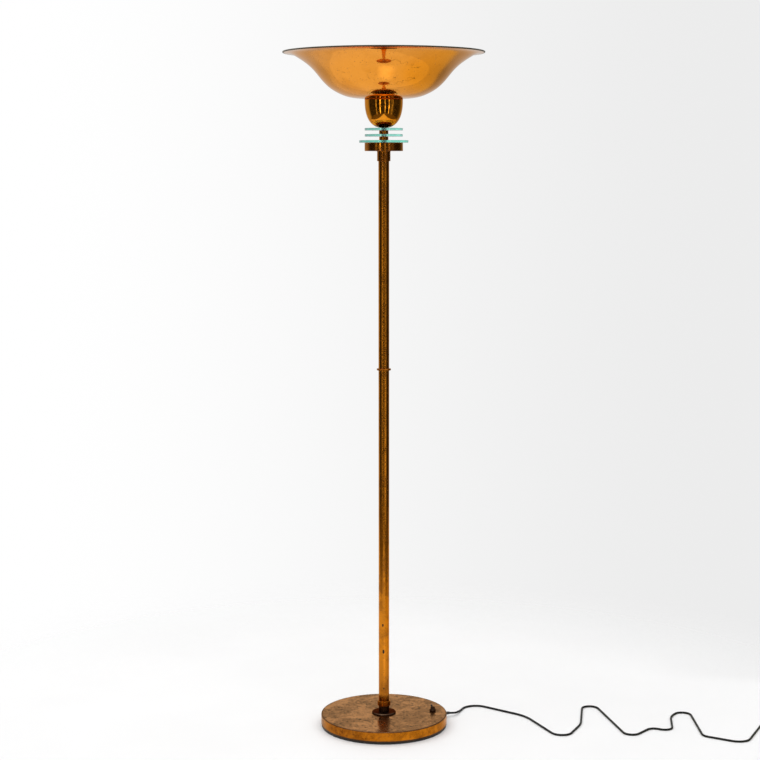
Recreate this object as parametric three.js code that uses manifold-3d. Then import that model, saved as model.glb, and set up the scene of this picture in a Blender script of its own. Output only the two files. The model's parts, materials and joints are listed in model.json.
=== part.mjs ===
// Torchiere floor lamp: a weighted copper base, a two-piece pole, three glass discs on a clamping rod,
// an egg-shaped cup and a wide spun bowl that throws the light upwards. Millimetres, +Z up. The origin is
// the centre of the base's underside, on the floor; +X points to the side where the mains lead leaves.

import * as THREE from 'three';
import { mergeVertices } from 'three/addons/utils/BufferGeometryUtils.js';
import Module from 'manifold-3d';

const wasm = await Module();
wasm.setup();

// ---------------------------------------------------------------------------------- driving dimensions

const GAP = 0.3; // clearance between pieces that rest on each other
const SHEET = 1.5; // wall of the spun copper pieces

const BASE_RADIUS = 168;
const PAD_HEIGHT = 4;
const BASE_HEIGHT = 33; // floor to the top of the copper cover
const BASE_EDGE = 2.2; // rounding between the cover's top and its skirt
const WEIGHT_RADIUS = 160;
const WEIGHT_TOP = 22;
const WEIGHT_BOSS_RADIUS = 32;
const WEIGHT_POCKET = { radius: 16, top: 20 }; // recess under the casting for the clamping nut
const LEAD_GROOVE = { width: 7, height: 6 };

const ROD_RADIUS = 5; // M10 all-thread tube
const ROD_BORE = 3.2;
const ROD_HOLE = 5.4; // clearance hole for the rod
const HEX_FLATS = 17;
const NUT_HEIGHT = 5;
const WASHER_HEIGHT = 1.5;

const TUBE_RADIUS = 14;
const TUBE_BORE = 12.5;
const TUBE_HOLE = TUBE_RADIUS + GAP;
const PLUG_HEIGHT = 14;

const FOOT_WASHER = { radius: 32, height: 4, bevel: 2 };
const FOOT_NECK_HEIGHT = 16;
const FOOT_COLLAR = { radius: 17.4, height: 13, ledge: 4 };

const JOINT_HEIGHT = 960; // centre of the ring between the two tubes
const JOINT_RING = { radius: 18.5, height: 4.5 };
const COUPLING_LENGTH = 60;

const COLLAR_BOTTOM = 1501;
const TOP_COLLAR = { radius: 17.25, height: 26, socket: 12 };
const HOLDER = { radius: 49.5, height: 21, plate: 2 };
const GLASS_HEIGHT = 6;
const GLASS_RADII = { large: 63.5, middle: 49, upper: 49.25 };
const SPACER = { radius: 11.85, height: 9 };

const BOWL_BOTTOM = 1660;
const BOWL_DEPTH = 120;
const BOWL_RADIUS = 260;
const BEAD_RADIUS = 1.9; // rolled edge of the bowl
const CUP = { radius: 49.35, roundness: 2.5 };

const LAMPHOLDER = { radius: 20, height: 43, cavity: 16.3, floor: 9 };
const BULB = { radius: 29, capRadius: 13.2, capHeight: 25, wall: 1 };

const SWITCH = { x: 131, y: 12, bushingRadius: 6, bushingTop: 44, bore: 3.6, pivot: 38.5 };
const LEVER_TILT = THREE.MathUtils.degToRad(15);

const CORD_RADIUS = 2.75;
const CORD_ON_FLOOR = 2.8; // height of the lead's centre where it lies on the floor
const EXIT = { azimuth: THREE.MathUtils.degToRad(20), height: 11 };
const RELIEF_END = 190; // distance of the strain relief's tip from the lamp's axis
const COIL = { x: 1069, y: 42, middle: 29, inner: 23.4, outer: 35, height: 10.6 };
const PLUG = { relief: 20, length: 27, width: 35, thickness: 13.7, pinRadius: 2, pinLength: 19, pinSpacing: 18.6 };

// Corners of the mains lead's route from the strain relief to its coil: [x, y, z, bend radius]. The lead
// runs straight between them and turns each corner on an arc; the two ends have no bend.
const CORD_ROUTE = [
  [178.9, 65.1, 11, 0],
  [194, 70.6, 8.8, 26],
  [210, 110, CORD_ON_FLOOR, 90],
  [236, 178, CORD_ON_FLOOR, 40],
  [385, 62, CORD_ON_FLOOR, 120],
  [468, -141, CORD_ON_FLOOR, 28],
  [528, -6, CORD_ON_FLOOR, 150],
  [564, 262, CORD_ON_FLOOR, 22.5],
  [642, -124, CORD_ON_FLOOR, 22.5],
  [714, -34, CORD_ON_FLOOR, 22.5],
  [764, -75, CORD_ON_FLOOR, 22.5],
  [779, 58, CORD_ON_FLOOR, 90],
  [836, 146, CORD_ON_FLOOR, 22.5],
  [838, -104, CORD_ON_FLOOR, 26],
  [940, -165, CORD_ON_FLOOR, 35],
  [1021, 10, CORD_ON_FLOOR, 42],
  [1049, 10, CORD_ON_FLOOR, 0],
];

// --------------------------------------------------------------------------------------------- finishes

const finish = (color, roughness, metalness, extra = {}) =>
  new THREE.MeshStandardMaterial({ color, roughness, metalness, ...extra });

const FINISHES = {
  polishedCopper: () => finish(0xc87a3c, 0.12, 1),
  agedCopper: () => finish(0x9c6a3c, 0.35, 1),
  darkBronze: () => finish(0x4a4338, 0.4, 0.9),
  zincSteel: () => finish(0xa9aaa8, 0.35, 1),
  brass: () => finish(0xc9a04e, 0.3, 1),
  castIron: () => finish(0x3a3a3c, 0.8, 0.6),
  clearGlass: () => finish(0x9fd8cc, 0.03, 0, { transparent: true, opacity: 0.45 }),
  bulbGlass: () => finish(0xf4f2ea, 0.2, 0, { transparent: true, opacity: 0.8 }),
  porcelain: () => finish(0xe8e4d8, 0.25, 0),
  blackPlastic: () => finish(0x141312, 0.35, 0),
  blackRubber: () => finish(0x101010, 0.6, 0),
};

// -------------------------------------------------------------------------------------- geometry helpers

// Keeps only positions, merges shared vertices, drops collapsed faces and turns every face outwards.
function outward(geometry) {
  geometry.deleteAttribute('normal');
  geometry.deleteAttribute('uv');
  const merged = mergeVertices(geometry, 1e-4);
  const p = merged.attributes.position;
  const corners = [new THREE.Vector3(), new THREE.Vector3(), new THREE.Vector3()];
  const kept = [];
  let volume = 0;
  for (let i = 0; i < merged.index.count; i += 3) {
    const face = [0, 1, 2].map((k) => merged.index.getX(i + k));
    if (new Set(face).size < 3) continue;
    face.forEach((v, k) => corners[k].fromBufferAttribute(p, v));
    volume += corners[0].dot(corners[1].clone().cross(corners[2]));
    kept.push(face);
  }
  const faces = volume < 0 ? kept.map(([a, b, c]) => [a, c, b]) : kept;
  merged.setIndex(faces.flat());
  return merged;
}

// A body of revolution about +Z from [radius, height] pairs; the outline ends on the axis or closes.
function turned(outline, segments = 24) {
  const onAxis = outline[0][0] === 0 && outline.at(-1)[0] === 0;
  const points = (onAxis ? outline : [...outline, outline[0]]).map(([r, z]) => new THREE.Vector2(r, z));
  const geometry = new THREE.LatheGeometry(points, segments);
  geometry.rotateX(Math.PI / 2);
  return outward(geometry);
}

// A ring of rectangular section with its four edges broken by the same chamfer.
function ring(inner, outer, bottom, top, chamfer = 0, segments = 24) {
  if (chamfer === 0) {
    return turned([[inner, bottom], [outer, bottom], [outer, top], [inner, top]], segments);
  }
  return turned([
    [inner, bottom], [outer - chamfer, bottom], [outer, bottom + chamfer],
    [outer, top - chamfer], [outer - chamfer, top], [inner, top],
  ], segments);
}

// Points of an arc in the outline plane, from one angle to the other, in degrees.
function arc(centreR, centreZ, radius, from, to, steps) {
  return Array.from({ length: steps + 1 }, (_, i) => {
    const angle = THREE.MathUtils.degToRad(from + ((to - from) * i) / steps);
    return [centreR + radius * Math.cos(angle), centreZ + radius * Math.sin(angle)];
  });
}

// A hexagonal nut standing on `bottom`, with a round hole.
function hexNut(flats, hole, bottom, height) {
  const corner = flats / Math.sqrt(3);
  const shape = new THREE.Shape(Array.from({ length: 6 }, (_, i) =>
    new THREE.Vector2(corner * Math.cos((i * Math.PI) / 3), corner * Math.sin((i * Math.PI) / 3))));
  shape.holes.push(new THREE.Path().absarc(0, 0, hole, 0, 2 * Math.PI, true));
  const geometry = new THREE.ExtrudeGeometry(shape, { depth: height, bevelEnabled: false, curveSegments: 12 });
  geometry.translate(0, 0, bottom);
  return outward(geometry);
}

// A round cable along a curve.
function cable(curve, radius, steps, sides = 8) {
  const section = new THREE.Shape(Array.from({ length: sides }, (_, i) =>
    new THREE.Vector2(radius * Math.cos((2 * Math.PI * i) / sides), radius * Math.sin((2 * Math.PI * i) / sides))));
  return outward(new THREE.ExtrudeGeometry(section, { steps, extrudePath: curve, bevelEnabled: false }));
}

const curveThrough = (points) => new THREE.CatmullRomCurve3(points.map((p) => new THREE.Vector3(...p)));

// The centre line that runs straight between corners and rounds each one with its own bend radius.
function roundedRoute(corners, spacing) {
  const points = [new THREE.Vector3(...corners[0])];
  for (let i = 1; i < corners.length - 1; i++) {
    const [before, corner, after] = [corners[i - 1], corners[i], corners[i + 1]].map((c) => new THREE.Vector3(...c));
    const into = corner.clone().sub(before).normalize();
    const out = after.clone().sub(corner).normalize();
    const turn = into.angleTo(out);
    const radius = corners[i][3];
    const start = corner.clone().addScaledVector(into, -radius * Math.tan(turn / 2));
    const inward = out.clone().addScaledVector(into, -into.dot(out)).normalize();
    const steps = Math.max(2, Math.round((radius * turn) / spacing));
    for (let k = 0; k <= steps; k++) {
      const angle = (turn * k) / steps;
      points.push(start.clone().addScaledVector(into, radius * Math.sin(angle))
        .addScaledVector(inward, radius * (1 - Math.cos(angle))));
    }
  }
  points.push(new THREE.Vector3(...corners.at(-1)));
  return new THREE.CatmullRomCurve3(points);
}

function box(width, depth, height, x, y, bottom, turn = 0) {
  const geometry = new THREE.BoxGeometry(width, depth, height);
  geometry.rotateZ(turn);
  geometry.translate(x, y, bottom + height / 2);
  return outward(geometry);
}

function toSolid(geometry) {
  return new wasm.Manifold(new wasm.Mesh({
    numProp: 3,
    vertProperties: new Float32Array(geometry.attributes.position.array),
    triVerts: new Uint32Array(geometry.index.array),
  }));
}

function toGeometry(solid) {
  const mesh = solid.getMesh();
  const geometry = new THREE.BufferGeometry();
  geometry.setAttribute('position', new THREE.BufferAttribute(mesh.vertProperties, 3));
  geometry.setIndex(new THREE.BufferAttribute(mesh.triVerts, 1));
  return geometry;
}

const cut = (body, ...tools) =>
  toGeometry(tools.reduce((solid, tool) => solid.subtract(toSolid(tool)), toSolid(body)));
const join = (body, ...others) =>
  toGeometry(others.reduce((solid, other) => solid.add(toSolid(other)), toSolid(body)));

const lamp = new THREE.Group();

function piece(name, geometry, material, parent = lamp) {
  const mesh = new THREE.Mesh(geometry, FINISHES[material]());
  mesh.name = name;
  parent.add(mesh);
  return mesh;
}

// ------------------------------------------------------------------------------------------------- base

function exitPoint(distance, height = EXIT.height) {
  return [distance * Math.cos(EXIT.azimuth), distance * Math.sin(EXIT.azimuth), height];
}

function baseWeight() {
  const bottom = PAD_HEIGHT + GAP;
  const bossTop = BASE_HEIGHT - SHEET - GAP;
  const casting = turned([
    [WEIGHT_POCKET.radius, bottom], [WEIGHT_RADIUS - 2, bottom], [WEIGHT_RADIUS, bottom + 2],
    [WEIGHT_RADIUS, WEIGHT_TOP - 3], [WEIGHT_RADIUS - 3, WEIGHT_TOP], [WEIGHT_BOSS_RADIUS + 4, WEIGHT_TOP],
    [WEIGHT_BOSS_RADIUS, bossTop], [ROD_HOLE, bossTop], [ROD_HOLE, WEIGHT_POCKET.top],
    [WEIGHT_POCKET.radius, WEIGHT_POCKET.top],
  ], 48);
  const switchPocket = box(34, 26, WEIGHT_TOP, SWITCH.x, SWITCH.y, 1);
  const groove = box(SWITCH.x, LEAD_GROOVE.width, LEAD_GROOVE.height + 2, SWITCH.x / 2, SWITCH.y / 2,
    bottom - 2, Math.atan2(SWITCH.y, SWITCH.x));
  const [exitX, exitY] = exitPoint(WEIGHT_RADIUS);
  const exitSlot = box(70, 16, WEIGHT_TOP, (SWITCH.x + exitX) / 2, (SWITCH.y + exitY) / 2, 1,
    Math.atan2(exitY - SWITCH.y, exitX - SWITCH.x));
  return cut(casting, switchPocket, groove, exitSlot);
}

function baseCover() {
  const bottom = PAD_HEIGHT + GAP;
  const inner = BASE_RADIUS - SHEET;
  const edgeZ = BASE_HEIGHT - BASE_EDGE;
  const shell = turned([
    [BASE_RADIUS, bottom],
    ...arc(BASE_RADIUS - BASE_EDGE, edgeZ, BASE_EDGE, 0, 90, 3),
    [ROD_HOLE, BASE_HEIGHT], [ROD_HOLE, BASE_HEIGHT - SHEET],
    ...arc(BASE_RADIUS - BASE_EDGE, edgeZ, BASE_EDGE - SHEET, 90, 0, 2),
    [inner, bottom],
  ], 48);
  const switchHole = turned([[0, 0], [6.3, 0], [6.3, 60], [0, 60]], 24);
  switchHole.translate(SWITCH.x, SWITCH.y, 0);
  const leadHole = turned([[0, 140], [5, 140], [5, 190], [0, 190]], 24);
  leadHole.rotateY(Math.PI / 2);
  leadHole.rotateZ(EXIT.azimuth);
  leadHole.translate(0, 0, EXIT.height);
  return cut(shell, switchHole, leadHole);
}

piece('foot_pad', turned([
  [0, 0], [BASE_RADIUS - 1.6, 0], [BASE_RADIUS - 1, 0.6], [BASE_RADIUS - 1, PAD_HEIGHT - 0.6],
  [BASE_RADIUS - 1.6, PAD_HEIGHT], [0, PAD_HEIGHT],
], 48), 'blackRubber');
piece('base_weight', baseWeight(), 'castIron');
piece('base_cover', baseCover(), 'agedCopper');

const baseWasherTop = WEIGHT_POCKET.top - GAP;
const baseNutTop = baseWasherTop - WASHER_HEIGHT - GAP;
const baseRodBottom = baseNutTop - NUT_HEIGHT - 1;
piece('base_nut_washer', ring(ROD_HOLE, 13, baseWasherTop - WASHER_HEIGHT, baseWasherTop, 0, 16), 'zincSteel');
piece('base_nut', hexNut(HEX_FLATS, ROD_HOLE, baseNutTop - NUT_HEIGHT, NUT_HEIGHT), 'zincSteel');

// ---------------------------------------------------------------------------------------- foot and pole

const footWasherBottom = BASE_HEIGHT + GAP;
const footWasherTop = footWasherBottom + FOOT_WASHER.height;
const footNeckBottom = footWasherTop + GAP;
const footNeckTop = footNeckBottom + FOOT_NECK_HEIGHT;
const footCollarBottom = footNeckTop + GAP;
const footCollarTop = footCollarBottom + FOOT_COLLAR.height;
const lowerTubeBottom = footCollarBottom + FOOT_COLLAR.ledge + GAP;
const jointRingBottom = JOINT_HEIGHT - JOINT_RING.height / 2;
const jointRingTop = JOINT_HEIGHT + JOINT_RING.height / 2;
const upperTubeTop = COLLAR_BOTTOM + TOP_COLLAR.socket;
const plugRadius = TUBE_BORE - GAP;

piece('foot_washer', turned([
  [ROD_HOLE, footWasherBottom], [FOOT_WASHER.radius, footWasherBottom],
  [FOOT_WASHER.radius, footWasherTop - FOOT_WASHER.bevel],
  [FOOT_WASHER.radius - FOOT_WASHER.bevel, footWasherTop], [ROD_HOLE, footWasherTop],
]), 'darkBronze');
piece('foot_neck', ring(ROD_HOLE, TUBE_RADIUS, footNeckBottom, footNeckTop, 0.4), 'darkBronze');
piece('foot_collar', turned([
  [ROD_HOLE, footCollarBottom], [FOOT_COLLAR.radius - 0.8, footCollarBottom],
  [FOOT_COLLAR.radius, footCollarBottom + 0.8], [FOOT_COLLAR.radius, footCollarTop - 0.8],
  [FOOT_COLLAR.radius - 0.8, footCollarTop], [TUBE_HOLE, footCollarTop],
  [TUBE_HOLE, footCollarBottom + FOOT_COLLAR.ledge], [ROD_HOLE, footCollarBottom + FOOT_COLLAR.ledge],
]), 'agedCopper');
piece('lower_tube', ring(TUBE_BORE, TUBE_RADIUS, lowerTubeBottom, jointRingBottom - GAP), 'polishedCopper');
piece('lower_tube_plug', ring(ROD_HOLE, plugRadius, lowerTubeBottom, lowerTubeBottom + PLUG_HEIGHT, 0, 16),
  'zincSteel');
piece('base_rod', ring(ROD_BORE, ROD_RADIUS, baseRodBottom, lowerTubeBottom + PLUG_HEIGHT - 2, 0, 12), 'zincSteel');
piece('joint_ring', ring(TUBE_BORE, JOINT_RING.radius, jointRingBottom, jointRingTop, 1.1), 'polishedCopper');
piece('tube_coupling', ring(6, plugRadius, JOINT_HEIGHT - COUPLING_LENGTH / 2,
  JOINT_HEIGHT + COUPLING_LENGTH / 2, 0, 16), 'zincSteel');
piece('upper_tube', ring(TUBE_BORE, TUBE_RADIUS, jointRingTop + GAP, upperTubeTop), 'polishedCopper');
piece('upper_tube_plug', ring(ROD_HOLE, plugRadius, upperTubeTop - PLUG_HEIGHT, upperTubeTop, 0, 16), 'zincSteel');

// ---------------------------------------------------------------------------- collar, holder and glass

const collarTop = COLLAR_BOTTOM + TOP_COLLAR.height;
const collarLedge = upperTubeTop + GAP;
piece('top_collar', turned([
  [TUBE_HOLE, COLLAR_BOTTOM], [TOP_COLLAR.radius - 0.6, COLLAR_BOTTOM], [TOP_COLLAR.radius, COLLAR_BOTTOM + 0.6],
  [TOP_COLLAR.radius, collarTop - 1.6], [TOP_COLLAR.radius + 0.7, collarTop - 1.2],
  [TOP_COLLAR.radius + 0.7, collarTop], [ROD_HOLE, collarTop], [ROD_HOLE, collarLedge], [TUBE_HOLE, collarLedge],
]), 'polishedCopper');

const holderBottom = collarTop + GAP;
const holderTop = holderBottom + HOLDER.height - GAP;
piece('holder_plate', ring(ROD_HOLE, HOLDER.radius - SHEET - GAP, holderBottom, holderBottom + HOLDER.plate, 0),
  'agedCopper');
piece('holder_cap', turned([
  [HOLDER.radius - 0.3, collarTop], [HOLDER.radius, collarTop + 0.3], [HOLDER.radius, holderTop - 0.8],
  [HOLDER.radius - 0.8, holderTop], [ROD_HOLE, holderTop], [ROD_HOLE, holderTop - SHEET],
  [HOLDER.radius - SHEET, holderTop - SHEET], [HOLDER.radius - SHEET, collarTop],
], 32), 'polishedCopper');

// Glass discs and metal spacers are threaded on the clamping rod, one on the other.
let stackTop = holderTop;
for (const [name, radius] of Object.entries(GLASS_RADII)) {
  const glassBottom = stackTop + GAP;
  piece(`glass_disc_${name}`, ring(ROD_HOLE, radius, glassBottom, glassBottom + GLASS_HEIGHT, 0.4, 32), 'clearGlass');
  stackTop = glassBottom + GLASS_HEIGHT;
  if (name !== 'upper') {
    const spacer = name === 'large' ? 'spacer_lower' : 'spacer_upper';
    piece(spacer, ring(ROD_HOLE, SPACER.radius, stackTop + GAP, stackTop + GAP + SPACER.height, 0.3, 24),
      'polishedCopper');
    stackTop += GAP + SPACER.height;
  }
}

// -------------------------------------------------------------------------------------- cup, bowl, rod

// Quarter of a superellipse from the lowest point, at radius `start`, up to the brim.
function cupOutline(radius, depth, bottom, start, steps) {
  const n = CUP.roundness;
  const first = Math.asin((start / radius) ** (n / 2));
  return Array.from({ length: steps + 1 }, (_, i) => {
    const angle = THREE.MathUtils.lerp(first, Math.PI / 2, i / steps);
    return [radius * Math.sin(angle) ** (2 / n), bottom + depth - depth * Math.cos(angle) ** (2 / n)];
  });
}

const cupBottom = stackTop + GAP;
const cupDepth = BOWL_BOTTOM - GAP - cupBottom;
piece('cup', turned([
  ...cupOutline(CUP.radius, cupDepth, cupBottom, ROD_HOLE, 6),
  ...cupOutline(CUP.radius - SHEET, cupDepth - SHEET, cupBottom + SHEET, ROD_HOLE, 6).reverse(),
], 32), 'polishedCopper');

// The bowl's meridian: a flat middle, a shallow dish, a steep shoulder and a lip that flares out level.
const bowlMeridian = new THREE.SplineCurve([
  [50, 0], [76, 2], [97, 6.4], [118, 15], [139, 28], [160, 48.5], [181, 73.5], [200, 90.5], [220, 104],
  [240, 114], [BOWL_RADIUS - BEAD_RADIUS, BOWL_DEPTH - 2 * BEAD_RADIUS],
].map(([r, z]) => new THREE.Vector2(r, BOWL_BOTTOM + z)));

const BOWL_STEPS = 11;

function bowlShell() {
  const outside = bowlMeridian.getPoints(BOWL_STEPS);
  const inside = outside.map((point, i) => {
    const tangent = bowlMeridian.getTangent(i / BOWL_STEPS);
    return [point.x - SHEET * tangent.y, point.y + SHEET * tangent.x];
  });
  const beadRadius = BOWL_RADIUS - BEAD_RADIUS;
  const beadZ = BOWL_BOTTOM + BOWL_DEPTH - BEAD_RADIUS;
  return turned([
    [ROD_HOLE, BOWL_BOTTOM],
    ...outside.slice(0, -1).map((point) => [point.x, point.y]),
    ...arc(beadRadius, beadZ, BEAD_RADIUS, -90, 180, 4),
    ...inside.slice(0, -1).reverse(),
    [ROD_HOLE, BOWL_BOTTOM + SHEET],
  ], 40);
}
piece('bowl_shade', bowlShell(), 'polishedCopper');

const bowlWasherBottom = BOWL_BOTTOM + SHEET + GAP;
const bowlNutBottom = bowlWasherBottom + WASHER_HEIGHT + GAP;
const lampholderBottom = bowlNutBottom + NUT_HEIGHT + GAP;
const headRodTop = lampholderBottom + 4;
piece('bowl_washer', ring(ROD_HOLE, 20, bowlWasherBottom, bowlWasherBottom + WASHER_HEIGHT, 0, 20), 'zincSteel');
piece('bowl_nut', hexNut(HEX_FLATS, ROD_HOLE, bowlNutBottom, NUT_HEIGHT), 'zincSteel');
piece('head_rod', ring(ROD_BORE, ROD_RADIUS, upperTubeTop - PLUG_HEIGHT + 2, headRodTop, 0, 12), 'zincSteel');

// ----------------------------------------------------------------------------------- lampholder and bulb

const cavityFloor = lampholderBottom + LAMPHOLDER.floor;
const lampholderTop = lampholderBottom + LAMPHOLDER.height;
piece('lampholder_body', turned([
  [ROD_HOLE, lampholderBottom], [LAMPHOLDER.radius - 2, lampholderBottom],
  [LAMPHOLDER.radius, lampholderBottom + 2], [LAMPHOLDER.radius, lampholderTop - 8],
  [LAMPHOLDER.radius + 1.2, lampholderTop - 7], [LAMPHOLDER.radius + 1.2, lampholderTop],
  [LAMPHOLDER.cavity, lampholderTop], [LAMPHOLDER.cavity, cavityFloor], [2.6, cavityFloor],
  [2.6, headRodTop + 1], [ROD_HOLE, headRodTop + 1],
], 20), 'porcelain');
piece('lampholder_contact', turned([
  [0, cavityFloor + GAP], [6, cavityFloor + GAP], [6, cavityFloor + 1], [2, cavityFloor + 2], [0, cavityFloor + 2],
], 12), 'brass');
piece('lampholder_sleeve', ring(BULB.capRadius + 0.6, LAMPHOLDER.cavity - 0.4, cavityFloor + 4,
  lampholderTop - 4, 0, 16), 'brass');

const capBottom = cavityFloor + 2 + GAP;
const capTop = capBottom + BULB.capHeight;
piece('bulb_cap', turned([
  [0, capBottom], [4.5, capBottom], [5, capBottom + 2], [11, capBottom + 5], [BULB.capRadius, capBottom + 7],
  [BULB.capRadius, capTop], [0, capTop],
], 16), 'zincSteel');

// The bulb's glass: a straight neck that swells into a ball, open at the neck's foot.
function bulbOutline(inset, steps) {
  const radius = BULB.radius - inset;
  const neck = BULB.capRadius - 0.4 - inset;
  const foot = capTop + GAP;
  const ballCentre = foot + 44;
  return [[neck, foot], [neck + 0.4, foot + 7], [neck + 3.6, foot + 17], ...arc(0, ballCentre, radius, -38, 90, steps)];
}
piece('bulb_glass', turned([...bulbOutline(0, 5), ...bulbOutline(BULB.wall, 5).reverse()], 20), 'bulbGlass');

// ----------------------------------------------------------------------------------------- toggle switch

const switchParts = new THREE.Group();
switchParts.position.set(SWITCH.x, SWITCH.y, 0);
lamp.add(switchParts);

const switchBodyTop = BASE_HEIGHT - SHEET - GAP;
piece('switch_body', join(
  box(22, 14, 16, 0, 0, switchBodyTop - 16),
  box(1, 4, 7, -6, 0, switchBodyTop - 22),
  box(1, 4, 7, 6, 0, switchBodyTop - 22),
), 'blackPlastic', switchParts);
piece('switch_bushing', turned([
  [0, switchBodyTop + GAP], [SWITCH.bushingRadius, switchBodyTop + GAP],
  [SWITCH.bushingRadius, SWITCH.bushingTop - 0.6], [SWITCH.bushingRadius - 0.6, SWITCH.bushingTop],
  [SWITCH.bore, SWITCH.bushingTop], [SWITCH.bore, BASE_HEIGHT + 1], [0, BASE_HEIGHT + 1],
], 20), 'darkBronze', switchParts);
piece('switch_nut', hexNut(HEX_FLATS, SWITCH.bushingRadius + GAP, BASE_HEIGHT + GAP, 3.5), 'darkBronze', switchParts);

// The lever turns about a pivot at the centre of its ball, parallel to Y.
const lever = piece('switch_lever', turned([
  [0, -3.9], [1.2, -3.9], ...arc(0, 0, 2.8, -65, 57, 4), [1.5, 3.4], [3, 10.8],
  ...arc(0.4, 10.8, 2.6, 0, 60, 2), [0, 13.4],
], 16), 'blackPlastic', switchParts);
lever.position.z = SWITCH.pivot;
lever.rotation.y = -LEVER_TILT;

// ------------------------------------------------------------------------------------- leads and bushing

function strainRelief() {
  const wall = BASE_RADIUS;
  const bore = CORD_RADIUS + GAP;
  const relief = turned([
    [bore, wall - 5.5], [6.2, wall - 5.5], [6.2, wall - 2.5], [4.6, wall - 2.5], [4.6, wall + 0.4], [6.2, wall + 0.4],
    [6.2, wall + 2.4], [4.9, wall + 3], [4, RELIEF_END], [bore, RELIEF_END],
  ], 16);
  relief.rotateY(Math.PI / 2);
  relief.rotateZ(EXIT.azimuth);
  relief.translate(0, 0, EXIT.height);
  return relief;
}
piece('cord_bushing', strainRelief(), 'blackRubber');

piece('supply_lead', cable(curveThrough([
  exitPoint(RELIEF_END - 1), exitPoint(WEIGHT_RADIUS + 2), exitPoint(WEIGHT_RADIUS - 6), [143, 34, 9], [138, 20, 7.5],
]), CORD_RADIUS, 14), 'blackRubber');

const leadRadius = 2;
const leadHeight = PAD_HEIGHT + GAP + LEAD_GROOVE.height / 2;
const turnTop = baseRodBottom + 3;
const grooveRun = cable(curveThrough([
  [SWITCH.x - 8, SWITCH.y - 1, leadHeight], [SWITCH.x / 2, SWITCH.y / 2, leadHeight], [13, 1.2, leadHeight],
  [4, 0.3, leadHeight + 1.2], [0.6, 0, leadHeight + 4.4], [0, 0, turnTop],
]), leadRadius, 30);
const poleRun = turned([[0, turnTop - 1], [leadRadius, turnTop - 1], [leadRadius, headRodTop + 3], [0, headRodTop + 3]], 8);
piece('pole_lead', join(poleRun, grooveRun), 'blackRubber');

// ------------------------------------------------------------------------- mains lead, its coil and plug

piece('cord_run', cable(roundedRoute(CORD_ROUTE, 10), CORD_RADIUS, 88), 'blackRubber');
const coil = piece('cord_coil', turned([
  [COIL.inner + 0.6, 0.1], [COIL.outer - 0.6, 0.1], [COIL.outer, 2.6], [COIL.outer - 1, 5.4],
  [COIL.middle + 2.6, COIL.height], [COIL.middle - 2.6, COIL.height], [COIL.inner + 1, 5.4], [COIL.inner, 2.6],
], 32), 'blackRubber');
coil.position.set(COIL.x, COIL.y, 0);

// The plug lies beside the coil, its pins pointing along +Y.
const plugAxisHeight = PLUG.thickness / 2 + 0.1;
const reliefStart = COIL.y + 36;
const plugParts = new THREE.Group();
plugParts.position.set(COIL.x + COIL.middle, reliefStart, plugAxisHeight);
lamp.add(plugParts);

piece('cord_tail', cable(curveThrough([
  [COIL.x + COIL.middle, COIL.y + 21.5, 7.5], [COIL.x + COIL.middle, reliefStart - GAP, plugAxisHeight],
]), CORD_RADIUS, 3), 'blackRubber');

function plugBody() {
  const half = PLUG.width / 2;
  const face = new THREE.Shape([
    [-half, 0], [-half + 5, -PLUG.thickness / 2], [half - 5, -PLUG.thickness / 2],
    [half, 0], [half - 5, PLUG.thickness / 2], [-half + 5, PLUG.thickness / 2],
  ].map(([x, y]) => new THREE.Vector2(x, y)));
  const block = new THREE.ExtrudeGeometry(face, { depth: PLUG.length, bevelEnabled: false });
  block.rotateX(-Math.PI / 2);
  block.translate(0, PLUG.relief, 0);
  const relief = turned([[0, 0], [4, 0], [5.4, PLUG.relief + 4], [0, PLUG.relief + 4]], 24);
  relief.rotateX(-Math.PI / 2);
  return join(outward(block), relief);
}
piece('plug_body', plugBody(), 'blackPlastic', plugParts);
for (const side of [-1, 1]) {
  const start = PLUG.relief + PLUG.length + GAP;
  const pin = turned([
    [0, start], [PLUG.pinRadius, start], [PLUG.pinRadius, start + PLUG.pinLength - 1.4],
    [PLUG.pinRadius - 1, start + PLUG.pinLength], [0, start + PLUG.pinLength],
  ], 16);
  pin.rotateX(-Math.PI / 2);
  pin.translate((side * PLUG.pinSpacing) / 2, 0, 0);
  piece(side < 0 ? 'plug_pin_left' : 'plug_pin_right', pin, 'zincSteel', plugParts);
}

export default lamp;
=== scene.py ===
"""Looks of a torchiere floor lamp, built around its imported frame.

Every visible turned, drawn or moulded piece is a fine surface worked out with numpy in the frame's own metres
(+Z up, the base standing on z = 0), dressed in procedural finishes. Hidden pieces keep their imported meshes.
"""

import json
import logging
import math
from dataclasses import dataclass
from enum import Enum
from typing import Sequence

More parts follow.
